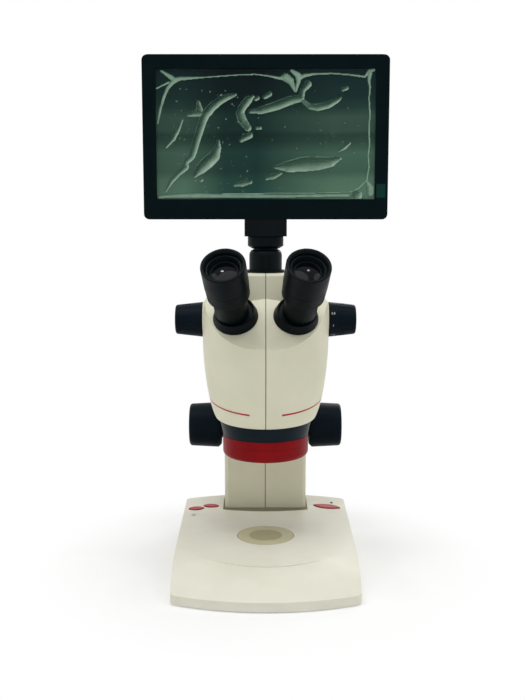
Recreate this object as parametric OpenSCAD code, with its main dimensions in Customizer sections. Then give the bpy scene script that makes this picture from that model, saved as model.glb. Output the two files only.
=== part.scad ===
// Trinocular zoom stereo microscope with a screen camera on its photo port
// Millimetres, +Z up, the front faces -Y, the origin lies on the bench under the middle

/* [Base] */
// Width of the base across the optical axis
base_w = 183; // [176:1:196]
// Depth of the base
base_d = 284; // [278:1:300]
// Height of the stage surface above the bench
base_h = 28.5; // [27:0.5:36]
// Height of the top of the front edge above the bench
front_h = 10.3; // [9.5:0.1:12]
// Radius of the front edge in plan
front_r = 225; // [205:1:245]
// Radius of the rear edge in plan
rear_r = 230; // [210:1:260]
// Radius of the barrelled sides in plan
side_r = 20000; // [12000:1000:40000]
// Lean of the sides, which makes the base wider to the rear
side_lean = 0.7; // [0.4:0.1:1]
// Radius of the corners in plan
corner_r = 8; // [6:0.5:12]
// Length of the slope behind the front edge
slope_l = 60; // [50:1:66]
// Radius of the raised stage area
stage_area_r = 90; // [86:0.5:94]
// Wall of the base cover
base_wall = 3; // [2:0.25:4]
// Distance of the optical axis behind the front edge
axis_from_front = 134; // [130:1:140]
// Height of the rubber feet
foot_h = 1.5; // [1:0.25:3]
// Radius of a rubber foot
foot_r = 9; // [6:0.5:11]
// Thickness of the base plate
plate_t = 2.5; // [2:0.25:3.5]

/* [Stage] */
// Radius of the stage ring
stage_r = 29.3; // [26:0.1:33]
// Thickness of the stage ring and glass
stage_t = 3; // [2:0.25:4]
// Radius of the glass in the stage ring
glass_r = 17.2; // [14:0.1:20]
// Height of the ledge under the stage ring
ledge_t = 3.5; // [2.5:0.25:5]
// Width of the ledge under the stage ring
ledge_w = 4; // [3:0.25:6]

/* [Buttons] */
// Length of a leaf-shaped lamp button
leaf_l = 18; // [15:0.5:20]
// Width of a leaf-shaped lamp button
leaf_w = 11; // [9:0.5:12]
// Length of the rocker
rocker_leaf_l = 32; // [28:0.5:34]
// Width of the rocker
rocker_leaf_w = 13; // [11:0.25:14]
// Height of the buttons above the base
button_proud = 1.2; // [0.8:0.1:2]
// Thickness of the buttons
button_t = 4.2; // [3.6:0.1:5]
// Radius of the indicator light
indicator_r = 1.3; // [1:0.1:2]

/* [Pillar] */
// Width of the pillar
pillar_w = 93.3; // [90:0.1:104]
// Depth of the pillar
pillar_d = 52; // [50:0.5:53]
// Height of the pillar's top above the bench
pillar_top = 205; // [203:1:215]
// Radius of the pillar's upright edges
pillar_edge_r = 5; // [3.5:0.5:8]
// Wall of the pillar covers
pillar_wall = 3; // [2:0.25:3.25]
// Width of the groove between the pillar and the base
groove_w = 1.8; // [1.2:0.1:3]
// Depth of the skirt below the stage surface
skirt_drop = 0.6; // [0.4:0.1:2]

/* [Focus] */
// Height of the focus axis above the bench
focus_z = 120; // [118:0.5:124]
// Radius of the focus shaft
focus_shaft_r = 4; // [3:0.25:4.25]
// Gear module of the rack and pinion
gear_m = 1; // [0.8:0.05:1.1]
// Teeth on the pinion
pinion_n = 14; // [13:1:16]
// Travel of the head below its place in the photo
focus_down = 25; // [20:1:28]
// Travel of the head above its place in the photo
focus_up = 30; // [25:1:32]
// Greatest radius of a focus knob
focus_knob_r = 26; // [22:0.5:29]
// Length of a focus knob
focus_knob_l = 38; // [34:0.5:44]
// Radius of the guide rods
rod_r = 5; // [4:0.25:5.5]

/* [Head ring] */
// Height of the head ring's underside above the stage surface
work_gap = 88; // [86:0.5:90]
// Height of the head ring
ring_h = 21.5; // [20:0.5:24]
// Outer radius of the head ring
ring_r = 44; // [43.5:0.25:46]
// Bore radius of the head ring
ring_bore_r = 38.1; // [37:0.1:38.5]
// Width of the arm behind the head ring
arm_w = 40; // [36:0.5:44]
// Half width of the lamp cover
lamp_half_w = 33; // [28:0.5:35]
// Height of the lamp cover
lamp_h = 13.5; // [11:0.5:15]

/* [Head] */
// Height of the black collar under the head
collar_h = 14.5; // [12:0.5:17]
// Radius of the head at its lower edge
head_low_r = 47.6; // [47:0.1:50]
// Greatest radius of the head
head_r = 64.1; // [63.5:0.1:67]
// Height of the head's widest place above its lower edge
belly_h = 93.5; // [88:0.5:98]
// Rise of the head's lower edge from its front to its sides
rim_rise = 4.4; // [3:0.2:5.2]
// Height of the shoulder's start above the head's lower edge
shoulder_h = 117.5; // [116:0.5:121]
// Radius of the shoulder
shoulder_r = 14; // [10:0.5:18]
// Wall of the head shells
head_wall = 3; // [2.25:0.25:3.5]
// Height of the tower's top above the head's lower edge
tower_h = 150.5; // [148:0.5:156]
// Radius of the tower
tower_r = 40; // [38:0.5:42]
// Distance of the tower's flat front ahead of the optical axis
tower_front = 12; // [10:0.5:14]
// Height of the deck line above the head's lower edge, on the optical axis
deck_h = 145.9; // [143:0.1:148]
// Distance of the photo port behind the optical axis
photo_y = 22.5; // [21:0.5:25]

/* [Zoom] */
// Distance of the zoom axis behind the optical axis
zoom_y = 14; // [13:0.5:15]
// Height of the zoom axis above the head's lower edge
zoom_h = 102.5; // [101:0.5:104]
// Radius of the zoom knobs at the head
zoom_knob_r = 18; // [16:0.25:19.5]
// Radius of the zoom knobs at their ends
zoom_end_r = 15.2; // [13.5:0.1:16]
// Length of the zoom knobs
zoom_knob_l = 28; // [25:0.5:32]
// Length of the scale ring on the right knob
scale_l = 10; // [8:0.25:12]
// Radius of the zoom shaft
zoom_shaft_r = 4; // [3:0.25:4.5]
// Grip flutes round a zoom knob
flute_n = 18; // [12:1:22]

/* [Eyepieces] */
// Tilt of the deck and the eyepieces from upright
eye_tilt = 45; // [44:0.5:46]
// Outward splay of the eyepieces
eye_splay = 5.6; // [5:0.1:6.2]
// Distance of an eye tube collar from the seam
eye_x = 29.7; // [29:0.1:30.5]
// Distance of an eye tube collar up the deck from the middle of the deck
eye_up = 7.6; // [7:0.1:8.5]
// Offset of an eye tube in its collar, for setting the eye spacing
eye_offset = 2.6; // [2:0.1:3.2]
// Radius of an eye tube collar
eye_collar_r = 22.3; // [21.6:0.1:23]
// Radius of an eye tube
eye_tube_r = 16.5; // [15.5:0.1:17]
// Radius of the neck that turns in the deck
eye_neck_r = 15; // [13:0.25:16]
// Height of the dioptre ring above the deck
dioptre_h = 34.4; // [30:0.2:38]
// Length of the dioptre ring
dioptre_l = 15.6; // [13:0.2:18]
// Length of the eyecup
eyecup_l = 27.2; // [25:0.2:30]
// Radius of the eyecup
eyecup_r = 21.4; // [20.4:0.1:22]
// Radius of the eye lens
eye_lens_r = 12; // [10:0.25:13]

/* [Camera and screen] */
// Radius of the photo tube
photo_r = 16.85; // [16:0.05:18]
// Radius of the neck above the photo tube
photo_neck_r = 12.7; // [12.2:0.05:13.2]
// Height of the photo tube up to its neck
photo_h = 20.7; // [19:0.1:23]
// Radius of the C-mount ring
cmount_r = 18.35; // [17.5:0.05:19.5]
// Height of the C-mount ring
cmount_h = 11; // [9:0.25:13]
// Width of the camera block
camera_w = 42.8; // [40:0.2:46]
// Depth of the camera block
camera_d = 40; // [39.5:0.5:46]
// Height of the camera block below the screen
camera_h = 17; // [15:0.5:20]
// Width of the screen
screen_w = 245.3; // [235:0.1:260]
// Height of the screen
screen_h = 161.2; // [155:0.1:170]
// Depth of the screen
screen_d = 22; // [20:0.5:23]
// Radius of the screen's corners
screen_corner_r = 5.5; // [4:0.25:8]
// Width of the bezel at the top and the sides
bezel_w = 13.4; // [11:0.2:16]
// Width of the bezel at the bottom
bezel_low_w = 20.2; // [17:0.2:23]
// Depth of the bezel
bezel_d = 8; // [7.5:0.25:9]

/* [Fits] */
// Radial clearance of turning and sliding fits
run = 0.05; // [0.03:0.01:0.09]
// Radial clearance of fixed fits
fit = 0.02; // [0.01:0.01:0.04]
// Gap between pieces that are laid side by side
gap = 0.3; // [0.2:0.05:0.4]
// Gap along the seams between the half shells
seam = 0.3; // [0.2:0.05:0.5]

/* [Hidden] */
$fn = 96;

CREAM = [0.87, 0.86, 0.79];
BLACK = [0.06, 0.09, 0.11];
RED = [0.55, 0.07, 0.11];
STEEL = [0.62, 0.63, 0.65];
ALLOY = [0.72, 0.73, 0.74];
BRASS = [0.72, 0.58, 0.30];
GLASS = [0.70, 0.80, 0.80];
BOARD = [0.10, 0.30, 0.18];
SCREEN = [0.10, 0.17, 0.17];

// Places along Y are measured from the optical axis, and moved with at_axis()
axis_y = axis_from_front - base_d / 2;
base_rear = base_d - axis_from_front;
pillar_y = base_rear - pillar_d;
module at_axis() translate([0, axis_y, 0]) children();

// Points on arcs
function polar(c, r, a) = [c[0] + r * cos(a), c[1] + r * sin(a)];
function arc(c, r, a0, a1, n) = [for (i = [0:n]) polar(c, r, a0 + (a1 - a0) * i / n)];
function open_arc(c, r, a0, a1, n) = [for (i = [0:n - 1]) polar(c, r, a0 + (a1 - a0) * i / n)];
function angle_of(v) = atan2(v[1], v[0]);
function flip(c) = [-c[0], c[1]];
function unit(v) = v / norm(v);

// Where two circles meet, to the left of the way from the first centre for a side of +1
function along(c1, r1, c2, r2) = (pow(norm(c2 - c1), 2) + r1 * r1 - r2 * r2) / (2 * norm(c2 - c1));
function across(v) = [-v[1], v[0]];
function meet(c1, r1, c2, r2, side) =
  let (a = along(c1, r1, c2, r2), u = unit(c2 - c1))
  c1 + a * u + side * sqrt(r1 * r1 - a * a) * across(u);

// Outline of a rectangle with round corners, centred
function round_rect(w, d, r, n) = concat(
  open_arc([w / 2 - r, d / 2 - r], r, 0, 90, n), [[w / 2 - r, d / 2]],
  open_arc([r - w / 2, d / 2 - r], r, 90, 180, n), [[-w / 2, d / 2 - r]],
  open_arc([r - w / 2, r - d / 2], r, 180, 270, n), [[r - w / 2, -d / 2]],
  open_arc([w / 2 - r, r - d / 2], r, 270, 360, n), [[w / 2, r - d / 2]]
);

// Base outline: front, side and rear arcs joined by round corners
front_c = [0, front_r - axis_from_front];
rear_c = [0, base_rear - rear_r];
side_c = [base_w / 2 - side_r * cos(side_lean), side_r * sin(side_lean)];
front_corner = meet(front_c, front_r - corner_r, side_c, side_r - corner_r, 1);
rear_corner = meet(rear_c, rear_r - corner_r, side_c, side_r - corner_r, -1);
a_front = angle_of(front_corner - front_c);
a_side0 = angle_of(front_corner - side_c);
a_side1 = angle_of(rear_corner - side_c);
a_rear = angle_of(rear_corner - rear_c);
function base_outline(inset) = concat(
  open_arc(front_c, front_r - inset, -180 - a_front, a_front, 20),
  open_arc(front_corner, corner_r - inset, a_front, a_side0, 5),
  open_arc(side_c, side_r - inset, a_side0, a_side1, 6),
  open_arc(rear_corner, corner_r - inset, a_side1, a_rear, 5),
  open_arc(rear_c, rear_r - inset, a_rear, 180 - a_rear, 16),
  open_arc(flip(rear_corner), corner_r - inset, 180 - a_rear, 180 - a_side1, 5),
  open_arc(flip(side_c), side_r - inset, 180 - a_side1, 180 - a_side0, 6),
  open_arc(flip(front_corner), corner_r - inset, 180 - a_side0, 180 - a_front, 5)
);

// The slope is an arc that leaves the stage surface level and falls to the front edge
slope_fall = base_h - front_h;
slope_arc_r = (slope_l * slope_l + slope_fall * slope_fall) / (2 * slope_fall);
slope_over = 2;
slope_end = asin((slope_l + slope_over) / slope_arc_r);
function slope_points() = [
  for (i = [0:10])
    let (a = slope_end * (1 - i / 10))
    [front_r - slope_l + slope_arc_r * sin(a), base_h - slope_arc_r * (1 - cos(a))]
];

plate_top = foot_h + plate_t;
module base_block(inset, drop, z0) intersection() {
  translate([0, 0, z0]) linear_extrude(base_h - drop - z0) polygon(base_outline(inset));
  union() {
    translate([0, front_c[1], -drop])
      rotate_extrude($fn = 180)
        polygon(concat([[0, 0], [front_r + slope_over, 0]], slope_points(), [[0, base_h]]));
    cylinder(r = stage_area_r, h = base_h - drop, $fn = 180);
  }
}

// Notch in the rear of the base, with a bowed front edge
notch_w = pillar_w + 2 * groove_w;
notch_room = 17;
notch_y = pillar_y - notch_room;
notch_bow = 7;
notch_bow_r = (pow(notch_w / 2, 2) + notch_bow * notch_bow) / (2 * notch_bow);
module notch(grow, z0, z1) intersection() {
  translate([-notch_w / 2 - grow, notch_y - grow, z0])
    cube([notch_w + 2 * grow, base_rear - notch_y + 2 * grow + 5, z1 - z0]);
  translate([0, notch_y + notch_bow_r, z0]) cylinder(r = notch_bow_r + grow, h = z1 - z0, $fn = 240);
}

// Buttons: leaf shapes, each where two round edges cross
leaf_front = [12.5 - base_w / 2, base_rear - 59, 12];
leaf_rear = [29 - base_w / 2, base_rear - 49, -4];
rocker_place = [base_w / 2 - 20.6, base_rear - 51.5, -21];
button_travel = 1;
stem_r = 2;
module leaf(l, w, h, grow) {
  r = (l * l + w * w) / (4 * w);
  intersection_for (s = [-1, 1]) translate([0, s * (r - w / 2), 0]) cylinder(r = r + grow, h = h);
}
module lamp_button(place, h, grow)
  translate([place[0], place[1], 0]) rotate(place[2]) leaf(leaf_l, leaf_w, h, grow);
module at_rocker() translate([rocker_place[0], rocker_place[1], 0]) rotate(rocker_place[2]) children();
module rocker_shape(h, grow) at_rocker() leaf(rocker_leaf_l, rocker_leaf_w, h, grow);
button_z = base_h + button_proud - button_t;
button_gap = 0.35;
rocker_gap = 0.6;
// The rocker tilts on a pin in two lugs under the base cover
pin_r = 1.5;
pin_z = base_h - base_wall - 3;
lug_t = 2.5;
lug_w = 6;
lug_y = rocker_leaf_w / 2 + rocker_gap + gap;
rocker_web = 2;
module rocker_lugs() at_rocker() for (s = [-1, 1])
  translate([-lug_w / 2, s * (lug_y + lug_t / 2) - lug_t / 2, pin_z - lug_w / 2])
    cube([lug_w, lug_t, base_h - base_wall - pin_z + lug_w / 2 + 1]);
module rocker_pin(r) at_rocker() translate([0, 0, pin_z]) rotate([90, 0, 0])
  cylinder(r = r, h = 2 * (lug_y + lug_t), center = true);

// Screws, bosses and feet
screw_r = 2;
screw_head_r = 3.6;
screw_head_h = 1.6;
boss_r = 4.5;
screw_l = 9;
screw_hex_r = 1.4;
foot_chamfer = 0.8;
cover_screws = [
  [base_w / 2 - 43.5, 24 - axis_from_front], [base_w / 2 - 9, 0], [base_w / 2 - 11, base_rear - 26]
];
core_screws = [[30, 8], [30, 32]];
feet = [[base_w / 2 - 23.5, 36 - axis_from_front], [base_w / 2 - 23.5, base_rear - 38]];
module both_sides(places) for (p = places, s = [-1, 1]) translate([s * p[0], p[1], 0]) children();
module core_places() translate([0, pillar_y, 0]) both_sides(core_screws) children();

indicator = [base_w / 2 - 14.1, base_rear - 37];
indicator_rim = 1;
inlet = [25.5 - base_w / 2, base_rear - 16];
inlet_size = [14, 14, 11];
inlet_jack_r = 3.2;
inlet_pin_r = 1;
inlet_depth = 9;

module base_cover() color(CREAM) at_axis() difference() {
  union() {
    difference() {
      base_block(0, 0, foot_h);
      base_block(base_wall, base_wall, foot_h - 1);
    }
    intersection() {
      base_block(0, 0, plate_top);
      union() {
        notch(base_wall, plate_top, base_h);
        translate([0, 0, base_h - stage_t - ledge_t])
          cylinder(r = stage_r + base_wall, h = stage_t + ledge_t);
        translate([0, 0, plate_top]) both_sides(cover_screws) cylinder(r = boss_r, h = base_h);
        rocker_lugs();
      }
    }
  }
  notch(0, foot_h - 1, base_h + 1);
  translate([0, 0, base_h - stage_t]) cylinder(r = stage_r + 2 * gap, h = stage_t + 1);
  cylinder(r = stage_r - ledge_w, h = base_h + 1);
  lamp_button(leaf_front, base_h + 1, button_gap);
  lamp_button(leaf_rear, base_h + 1, button_gap);
  translate([0, 0, pin_z + lug_w / 2]) rocker_shape(base_h, rocker_gap);
  rocker_pin(pin_r + run);
  translate([indicator[0], indicator[1], 0]) cylinder(r = indicator_r + fit, h = base_h + 1);
  translate([inlet[0] - inlet_size[0] / 2 - fit, inlet[1] - inlet_size[1] - fit, plate_top - 1])
    cube([inlet_size[0] + 2 * fit, 3 * inlet_size[1], inlet_size[2] + 1 + fit]);
  translate([0, 0, plate_top - 1]) both_sides(cover_screws) cylinder(r = screw_r + fit, h = screw_l);
}

module base_plate() color(STEEL) at_axis() difference() {
  union() {
    translate([0, 0, foot_h]) linear_extrude(plate_t) polygon(base_outline(base_wall + gap));
    translate([-pillar_w / 2, pillar_y, foot_h]) cube([pillar_w, pillar_d, plate_t]);
    for (p = board_places, s = [-1, 1])
      translate([p[0] + s * board_post_x, p[1], plate_top])
        cylinder(r = board_post_r, h = board_z - plate_top);
  }
  translate([0, 0, foot_h - 1]) both_sides(cover_screws) screw_hole();
  translate([0, 0, foot_h - 1]) core_places() screw_hole();
}
module screw_hole() {
  cylinder(r = screw_r + run, h = plate_t + 2);
  cylinder(r = screw_head_r + run, h = screw_head_h + 1);
}

module rubber_feet() color(BLACK) at_axis() both_sides(feet)
  rotate_extrude() polygon([
    [0, 0], [foot_r - foot_chamfer, 0], [foot_r, foot_chamfer], [foot_r, foot_h], [0, foot_h]
  ]);

module base_screws() color(STEEL) at_axis() {
  translate([0, 0, foot_h]) both_sides(cover_screws) base_screw();
  translate([0, 0, foot_h]) core_places() base_screw();
}
module base_screw() difference() {
  union() {
    cylinder(r = screw_head_r, h = screw_head_h);
    cylinder(r = screw_r, h = screw_l);
  }
  translate([0, 0, -1]) cylinder(r = screw_hex_r, h = 1 + screw_head_h / 2, $fn = 6);
}

module pillar_skirt() color(CREAM) at_axis() difference() {
  intersection() {
    notch(-gap, base_h - skirt_drop - base_wall, base_h - skirt_drop);
    linear_extrude(base_h) polygon(base_outline(base_wall));
  }
  translate([0, pillar_y + pillar_d / 2, 0])
    linear_extrude(base_h)
      polygon(round_rect(pillar_w + 2 * gap, pillar_d + 2 * gap, pillar_edge_r + gap, 6));
}

// Stage plate and the lamp under it
glass_seat = 2;
lamp_can_wall = 2;
led_seat = 4;
led_board_t = 1.6;
led_w = 3;
led_h = 1;
module stage_ring() color([0.80, 0.80, 0.74]) at_axis() difference() {
  translate([0, 0, base_h - stage_t]) cylinder(r = stage_r, h = stage_t);
  translate([0, 0, base_h - stage_t / 2]) cylinder(r = glass_r + fit, h = stage_t);
  cylinder(r = glass_r - glass_seat, h = base_h);
}
module stage_glass() color(GLASS) at_axis()
  translate([0, 0, base_h - stage_t / 2]) cylinder(r = glass_r, h = stage_t / 2);
lamp_r = stage_r - ledge_w;
lamp_top = base_h - stage_t - ledge_t;
module stage_lamp_housing() color(BLACK) at_axis() difference() {
  translate([0, 0, plate_top]) cylinder(r = lamp_r, h = lamp_top - plate_top);
  translate([0, 0, plate_top + lamp_can_wall]) cylinder(r = lamp_r - 2 * lamp_can_wall, h = base_h);
  translate([0, 0, plate_top + led_seat]) cylinder(r = lamp_r - lamp_can_wall, h = base_h);
}
module stage_led_board() color(BOARD) at_axis() {
  translate([0, 0, plate_top + led_seat]) cylinder(r = lamp_r - lamp_can_wall - fit, h = led_board_t);
  translate([0, 0, plate_top + led_seat + led_board_t]) for (a = [0:60:300])
    rotate(a) translate([lamp_r / 2 - led_w / 2, -led_w / 2, 0]) cube([led_w, led_w, led_h]);
}

// Boards under the buttons, on posts of the base plate
board_z = 14;
board_t = 1.6;
board_size = [32, 20];
board_post_x = 12;
board_post_r = 3;
board_places = [[20.5 - base_w / 2, base_rear - 52], [base_w / 2 - 20.5, base_rear - 50]];
module button_boards() color(BOARD) at_axis() for (p = board_places)
  translate([p[0] - board_size[0] / 2, p[1] - board_size[1] / 2, board_z])
    cube([board_size[0], board_size[1], board_t]);
module power_indicator() color([0.1, 0.3, 0.1]) at_axis()
  translate([indicator[0], indicator[1], 0]) {
    translate([0, 0, base_h - base_wall - gap]) cylinder(r = indicator_r, h = base_wall + gap);
    translate([0, 0, base_h - base_wall - gap - indicator_rim])
      cylinder(r = indicator_r + indicator_rim, h = indicator_rim);
  }
module power_inlet() color(BLACK) at_axis()
  translate([inlet[0], inlet[1], plate_top + inlet_size[2] / 2]) difference() {
    translate([-inlet_size[0] / 2, -inlet_size[1], -inlet_size[2] / 2]) cube(inlet_size);
    rotate([90, 0, 0]) difference() {
      translate([0, 0, -1]) cylinder(r = inlet_jack_r, h = inlet_depth + 1);
      cylinder(r = inlet_pin_r, h = inlet_depth + 1);
    }
  }

// Red lamp controls
module lamp_button_front() color(RED) at_axis() button_with_stem(leaf_front);
module lamp_button_rear() color(RED) at_axis() button_with_stem(leaf_rear);
module button_with_stem(place) {
  translate([0, 0, button_z]) lamp_button(place, button_t, 0);
  translate([place[0], place[1], board_z + board_t + button_travel + gap])
    cylinder(r = stem_r, h = button_z - board_z - board_t - button_travel - gap);
}
module lamp_rocker() color(RED) at_axis() {
  translate([0, 0, button_z]) rocker_shape(button_t, 0);
  rocker_pin(pin_r);
  at_rocker() translate([-rocker_web / 2, gap - rocker_leaf_w / 2, pin_z])
    cube([rocker_web, rocker_leaf_w - 2 * gap, button_z - pin_z + 1]);
}

// Pillar: core, rods and covers
bush_flange_t = 1.4;
bush_flange_w = 2;
bush_wall = 3;
core_room = 1;
core_w = pillar_w - 2 * pillar_wall - 2 * bush_flange_t - 2 * gap;
core_y = pillar_y + pillar_wall + core_room;
core_rear = pillar_y + pillar_d - pillar_wall - core_room;
cheek_t = 5;
core_wall = 6;
core_foot = 18.5;
core_bridge = 8;
core_top = pillar_top - pillar_wall - 1.5 * core_room;
carriage_d = 14;
rod_x = 26;
rod_y = core_y + carriage_d / 2;
rod_seat = 12;
bush_r = focus_shaft_r + bush_wall;
rack_body = 3.75;
pitch_r = gear_m * pinion_n / 2;
rack_pitch_y = core_y + carriage_d + gear_m;
focus_y = rack_pitch_y + pitch_r;
module along_x(y, z) translate([0, y, z]) rotate([0, 90, 0]) children();
module pillar_core() color(ALLOY) at_axis() difference() {
  translate([-core_w / 2, core_y, plate_top]) cube([core_w, core_rear - core_y, core_top - plate_top]);
  translate([cheek_t - core_w / 2, core_y - 1, plate_top + core_foot])
    cube([core_w - 2 * cheek_t, core_rear - core_y - core_wall + 1,
      core_top - core_bridge - plate_top - core_foot]);
  for (s = [-1, 1]) translate([s * rod_x, rod_y, plate_top + core_foot - rod_seat])
    cylinder(r = rod_r + fit, h = core_top);
  along_x(focus_y, focus_z) cylinder(r = bush_r + fit, h = pillar_w, center = true);
  translate([0, 0, plate_top - 1]) core_places() cylinder(r = screw_r + fit, h = screw_l);
}
module guide_rods() color(STEEL) at_axis() for (s = [-1, 1])
  translate([s * rod_x, rod_y, plate_top + core_foot - rod_seat])
    cylinder(r = rod_r, h = core_top - plate_top - core_foot + rod_seat);
module focus_bushes() color(BRASS) at_axis() for (s = [-1, 1])
  mirror([s < 0 ? 1 : 0, 0, 0]) along_x(focus_y, focus_z) difference() {
    union() {
      translate([0, 0, core_w / 2 - cheek_t]) cylinder(r = bush_r, h = cheek_t);
      translate([0, 0, core_w / 2]) cylinder(r = bush_r + bush_flange_w, h = bush_flange_t);
    }
    cylinder(r = focus_shaft_r + run, h = pillar_w);
  }

ring_z = base_h + work_gap;
ring_top = ring_z + ring_h;
arm_inset = 1;
arm_z = ring_z + arm_inset;
arm_h = ring_h - 2 * arm_inset;
slot_room = 1.5;
hub_r = 15;
module pillar_cover(side) color(CREAM) at_axis() difference() {
  intersection() {
    translate([0, pillar_y + pillar_d / 2, plate_top])
      linear_extrude(pillar_top - plate_top) polygon(round_rect(pillar_w, pillar_d, pillar_edge_r, 6));
    translate([side > 0 ? seam / 2 : -pillar_w, 0, 0])
      cube([pillar_w - seam / 2, 2 * base_rear, pillar_top]);
  }
  translate([0, pillar_y + pillar_d / 2, plate_top - 1])
    linear_extrude(pillar_top - plate_top - pillar_wall + 1)
      polygon(round_rect(pillar_w - 2 * pillar_wall, pillar_d - 2 * pillar_wall,
        pillar_edge_r - pillar_wall, 6));
  translate([-arm_w / 2 - slot_room, pillar_y - 1, arm_z - focus_down - slot_room])
    cube([arm_w + 2 * slot_room, pillar_wall + 2, arm_h + focus_down + focus_up + 2 * slot_room]);
  along_x(focus_y, focus_z) cylinder(r = bush_r + bush_flange_w + 1, h = 2 * pillar_w, center = true);
}
module pillar_cover_left() pillar_cover(-1);
module pillar_cover_right() pillar_cover(1);

// Focus drive: involute pinion, rack, knobs
pressure_a = 20;
backlash = 0.24;
tip_r = pitch_r + gear_m;
dedendum = 1.25 * gear_m;
root_r = pitch_r - dedendum;
involute_base_r = pitch_r * cos(pressure_a);
function involute_a(r) = r <= involute_base_r ? 0 :
  let (t = sqrt(pow(r / involute_base_r, 2) - 1)) t * 180 / PI - atan(t);
half_tooth_a = 90 / pinion_n - backlash / 4 / pitch_r * 180 / PI + involute_a(pitch_r);
flank_n = 4;
function flank_r(i) = max(root_r, involute_base_r) + (tip_r - max(root_r, involute_base_r)) * i / flank_n;
function tooth(a) = concat(
  [polar([0, 0], root_r, a - half_tooth_a)],
  [for (i = [0:flank_n]) polar([0, 0], flank_r(i), a - half_tooth_a + involute_a(flank_r(i)))],
  [for (i = [flank_n:-1:0]) polar([0, 0], flank_r(i), a + half_tooth_a - involute_a(flank_r(i)))],
  [polar([0, 0], root_r, a + half_tooth_a)]
);
pinion_w = 10;
// A gap between two pinion teeth faces the rack's tooth at the focus height
pinion_phase = 180 + 180 / pinion_n;
module focus_pinion() color(BRASS) at_axis() translate([0, focus_y, focus_z])
  rotate([90, 0, 90]) difference() {
    translate([0, 0, -pinion_w / 2]) linear_extrude(pinion_w)
      polygon([for (i = [0:pinion_n - 1]) each tooth(pinion_phase + i * 360 / pinion_n)]);
    cylinder(r = focus_shaft_r + fit, h = 2 * pinion_w, center = true);
  }
rack_w = pinion_w;
pitch = PI * gear_m;
rack_up_n = ceil((focus_down + tip_r) / pitch);
rack_down_n = ceil((focus_up + tip_r) / pitch);
rack_root_y = rack_pitch_y - dedendum;
rack_tip_y = rack_pitch_y + gear_m;
function rack_half(y) = pitch / 4 - backlash / 4 - (y - rack_pitch_y) * tan(pressure_a);
rack_low = focus_z - (rack_down_n + 0.5) * pitch;
rack_high = focus_z + (rack_up_n + 0.5) * pitch;
module focus_rack() color(STEEL) at_axis() translate([-rack_w / 2, 0, 0]) rotate([90, 0, 90])
  linear_extrude(rack_w) polygon(concat(
    [[rack_root_y - rack_body, rack_low], [rack_root_y, rack_low]],
    [for (i = [-rack_down_n:rack_up_n]) each [
      [rack_root_y, focus_z + i * pitch - rack_half(rack_root_y)],
      [rack_tip_y, focus_z + i * pitch - rack_half(rack_tip_y)],
      [rack_tip_y, focus_z + i * pitch + rack_half(rack_tip_y)],
      [rack_root_y, focus_z + i * pitch + rack_half(rack_root_y)]]],
    [[rack_root_y, rack_high], [rack_root_y - rack_body, rack_high]]
  ));
knob_gap = 0.6;
hub_l = 3.4;
knob_x = pillar_w / 2 + knob_gap + hub_l;
knob_end = knob_x + focus_knob_l;
shaft_short = 9;
shaft_end = knob_end - shaft_short;
module focus_shaft() color(STEEL) at_axis()
  along_x(focus_y, focus_z) cylinder(r = focus_shaft_r, h = 2 * shaft_end, center = true);
knob_taper = 1.5;
knob_round = 3.5;
knob_chamfer = 3.5;
dome_r = 220;
dome_edge = focus_knob_r - knob_taper - knob_round;
dome_a = asin(dome_edge / dome_r);
module focus_knob(side) color(BLACK) at_axis() mirror([side < 0 ? 1 : 0, 0, 0])
  along_x(focus_y, focus_z) difference() {
    rotate_extrude() polygon(concat(
      [[0, knob_x - hub_l], [hub_r, knob_x - hub_l], [hub_r, knob_x]],
      [[focus_knob_r - knob_chamfer, knob_x], [focus_knob_r, knob_x + knob_chamfer]],
      arc([dome_edge, knob_end - dome_r * (1 - cos(dome_a)) - knob_round], knob_round, 0, 90 - dome_a, 5),
      arc([0, knob_end - dome_r], dome_r, 90 - dome_a, 90, 6)
    ));
    cylinder(r = focus_shaft_r + fit, h = shaft_end);
  }
module focus_knob_left() focus_knob(-1);
module focus_knob_right() focus_knob(1);

// Carriage, arm and head ring
carriage_side = 3;
carriage_w = core_w - 2 * cheek_t - 2 * carriage_side;
carriage_low = rack_low;
carriage_over = 4;
carriage_high = max(rack_high, ring_top + carriage_over);
arm_screw_r = 2.5;
arm_screw_x = 14;
arm_screw_l = 20;
arm_screw_head_r = 4.25;
arm_screw_head_l = 5;
arm_screw_hex_r = 2.3;
arm_screw_at = 0.28;
arm_screw_seat = carriage_d - arm_screw_head_l;
module arm_screw_places() for (s = [-1, 1], t = [arm_screw_at, 1 - arm_screw_at])
  translate([s * arm_screw_x, core_y, arm_z + arm_h * t]) rotate([-90, 0, 0]) children();
module focus_carriage() color(ALLOY) at_axis() difference() {
  translate([-carriage_w / 2, core_y, carriage_low])
    cube([carriage_w, carriage_d, carriage_high - carriage_low]);
  for (s = [-1, 1]) translate([s * rod_x, rod_y, 0]) cylinder(r = rod_r + run, h = pillar_top);
  translate([-rack_w / 2 - fit, rack_root_y - rack_body, carriage_low - 1])
    cube([rack_w + 2 * fit, carriage_d, carriage_high - carriage_low + 2]);
  arm_screw_places() {
    translate([0, 0, -1]) cylinder(r = arm_screw_r + fit, h = carriage_d + 2);
    translate([0, 0, arm_screw_seat]) cylinder(r = arm_screw_head_r + fit, h = arm_screw_head_l + 1);
  }
}
module arm_screws() color(STEEL) at_axis() arm_screw_places() difference() {
  union() {
    translate([0, 0, arm_screw_seat - arm_screw_l]) cylinder(r = arm_screw_r, h = arm_screw_l);
    translate([0, 0, arm_screw_seat]) cylinder(r = arm_screw_head_r, h = arm_screw_head_l);
  }
  translate([0, 0, arm_screw_seat + arm_screw_head_l / 2])
    cylinder(r = arm_screw_hex_r, h = arm_screw_head_l, $fn = 6);
}
ring_edge_r = 5;
lamp_cover_t = 4;
lamp_wall = ring_r - lamp_cover_t;
clamp_a = 45;
clamp_r = 2.5;
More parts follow.
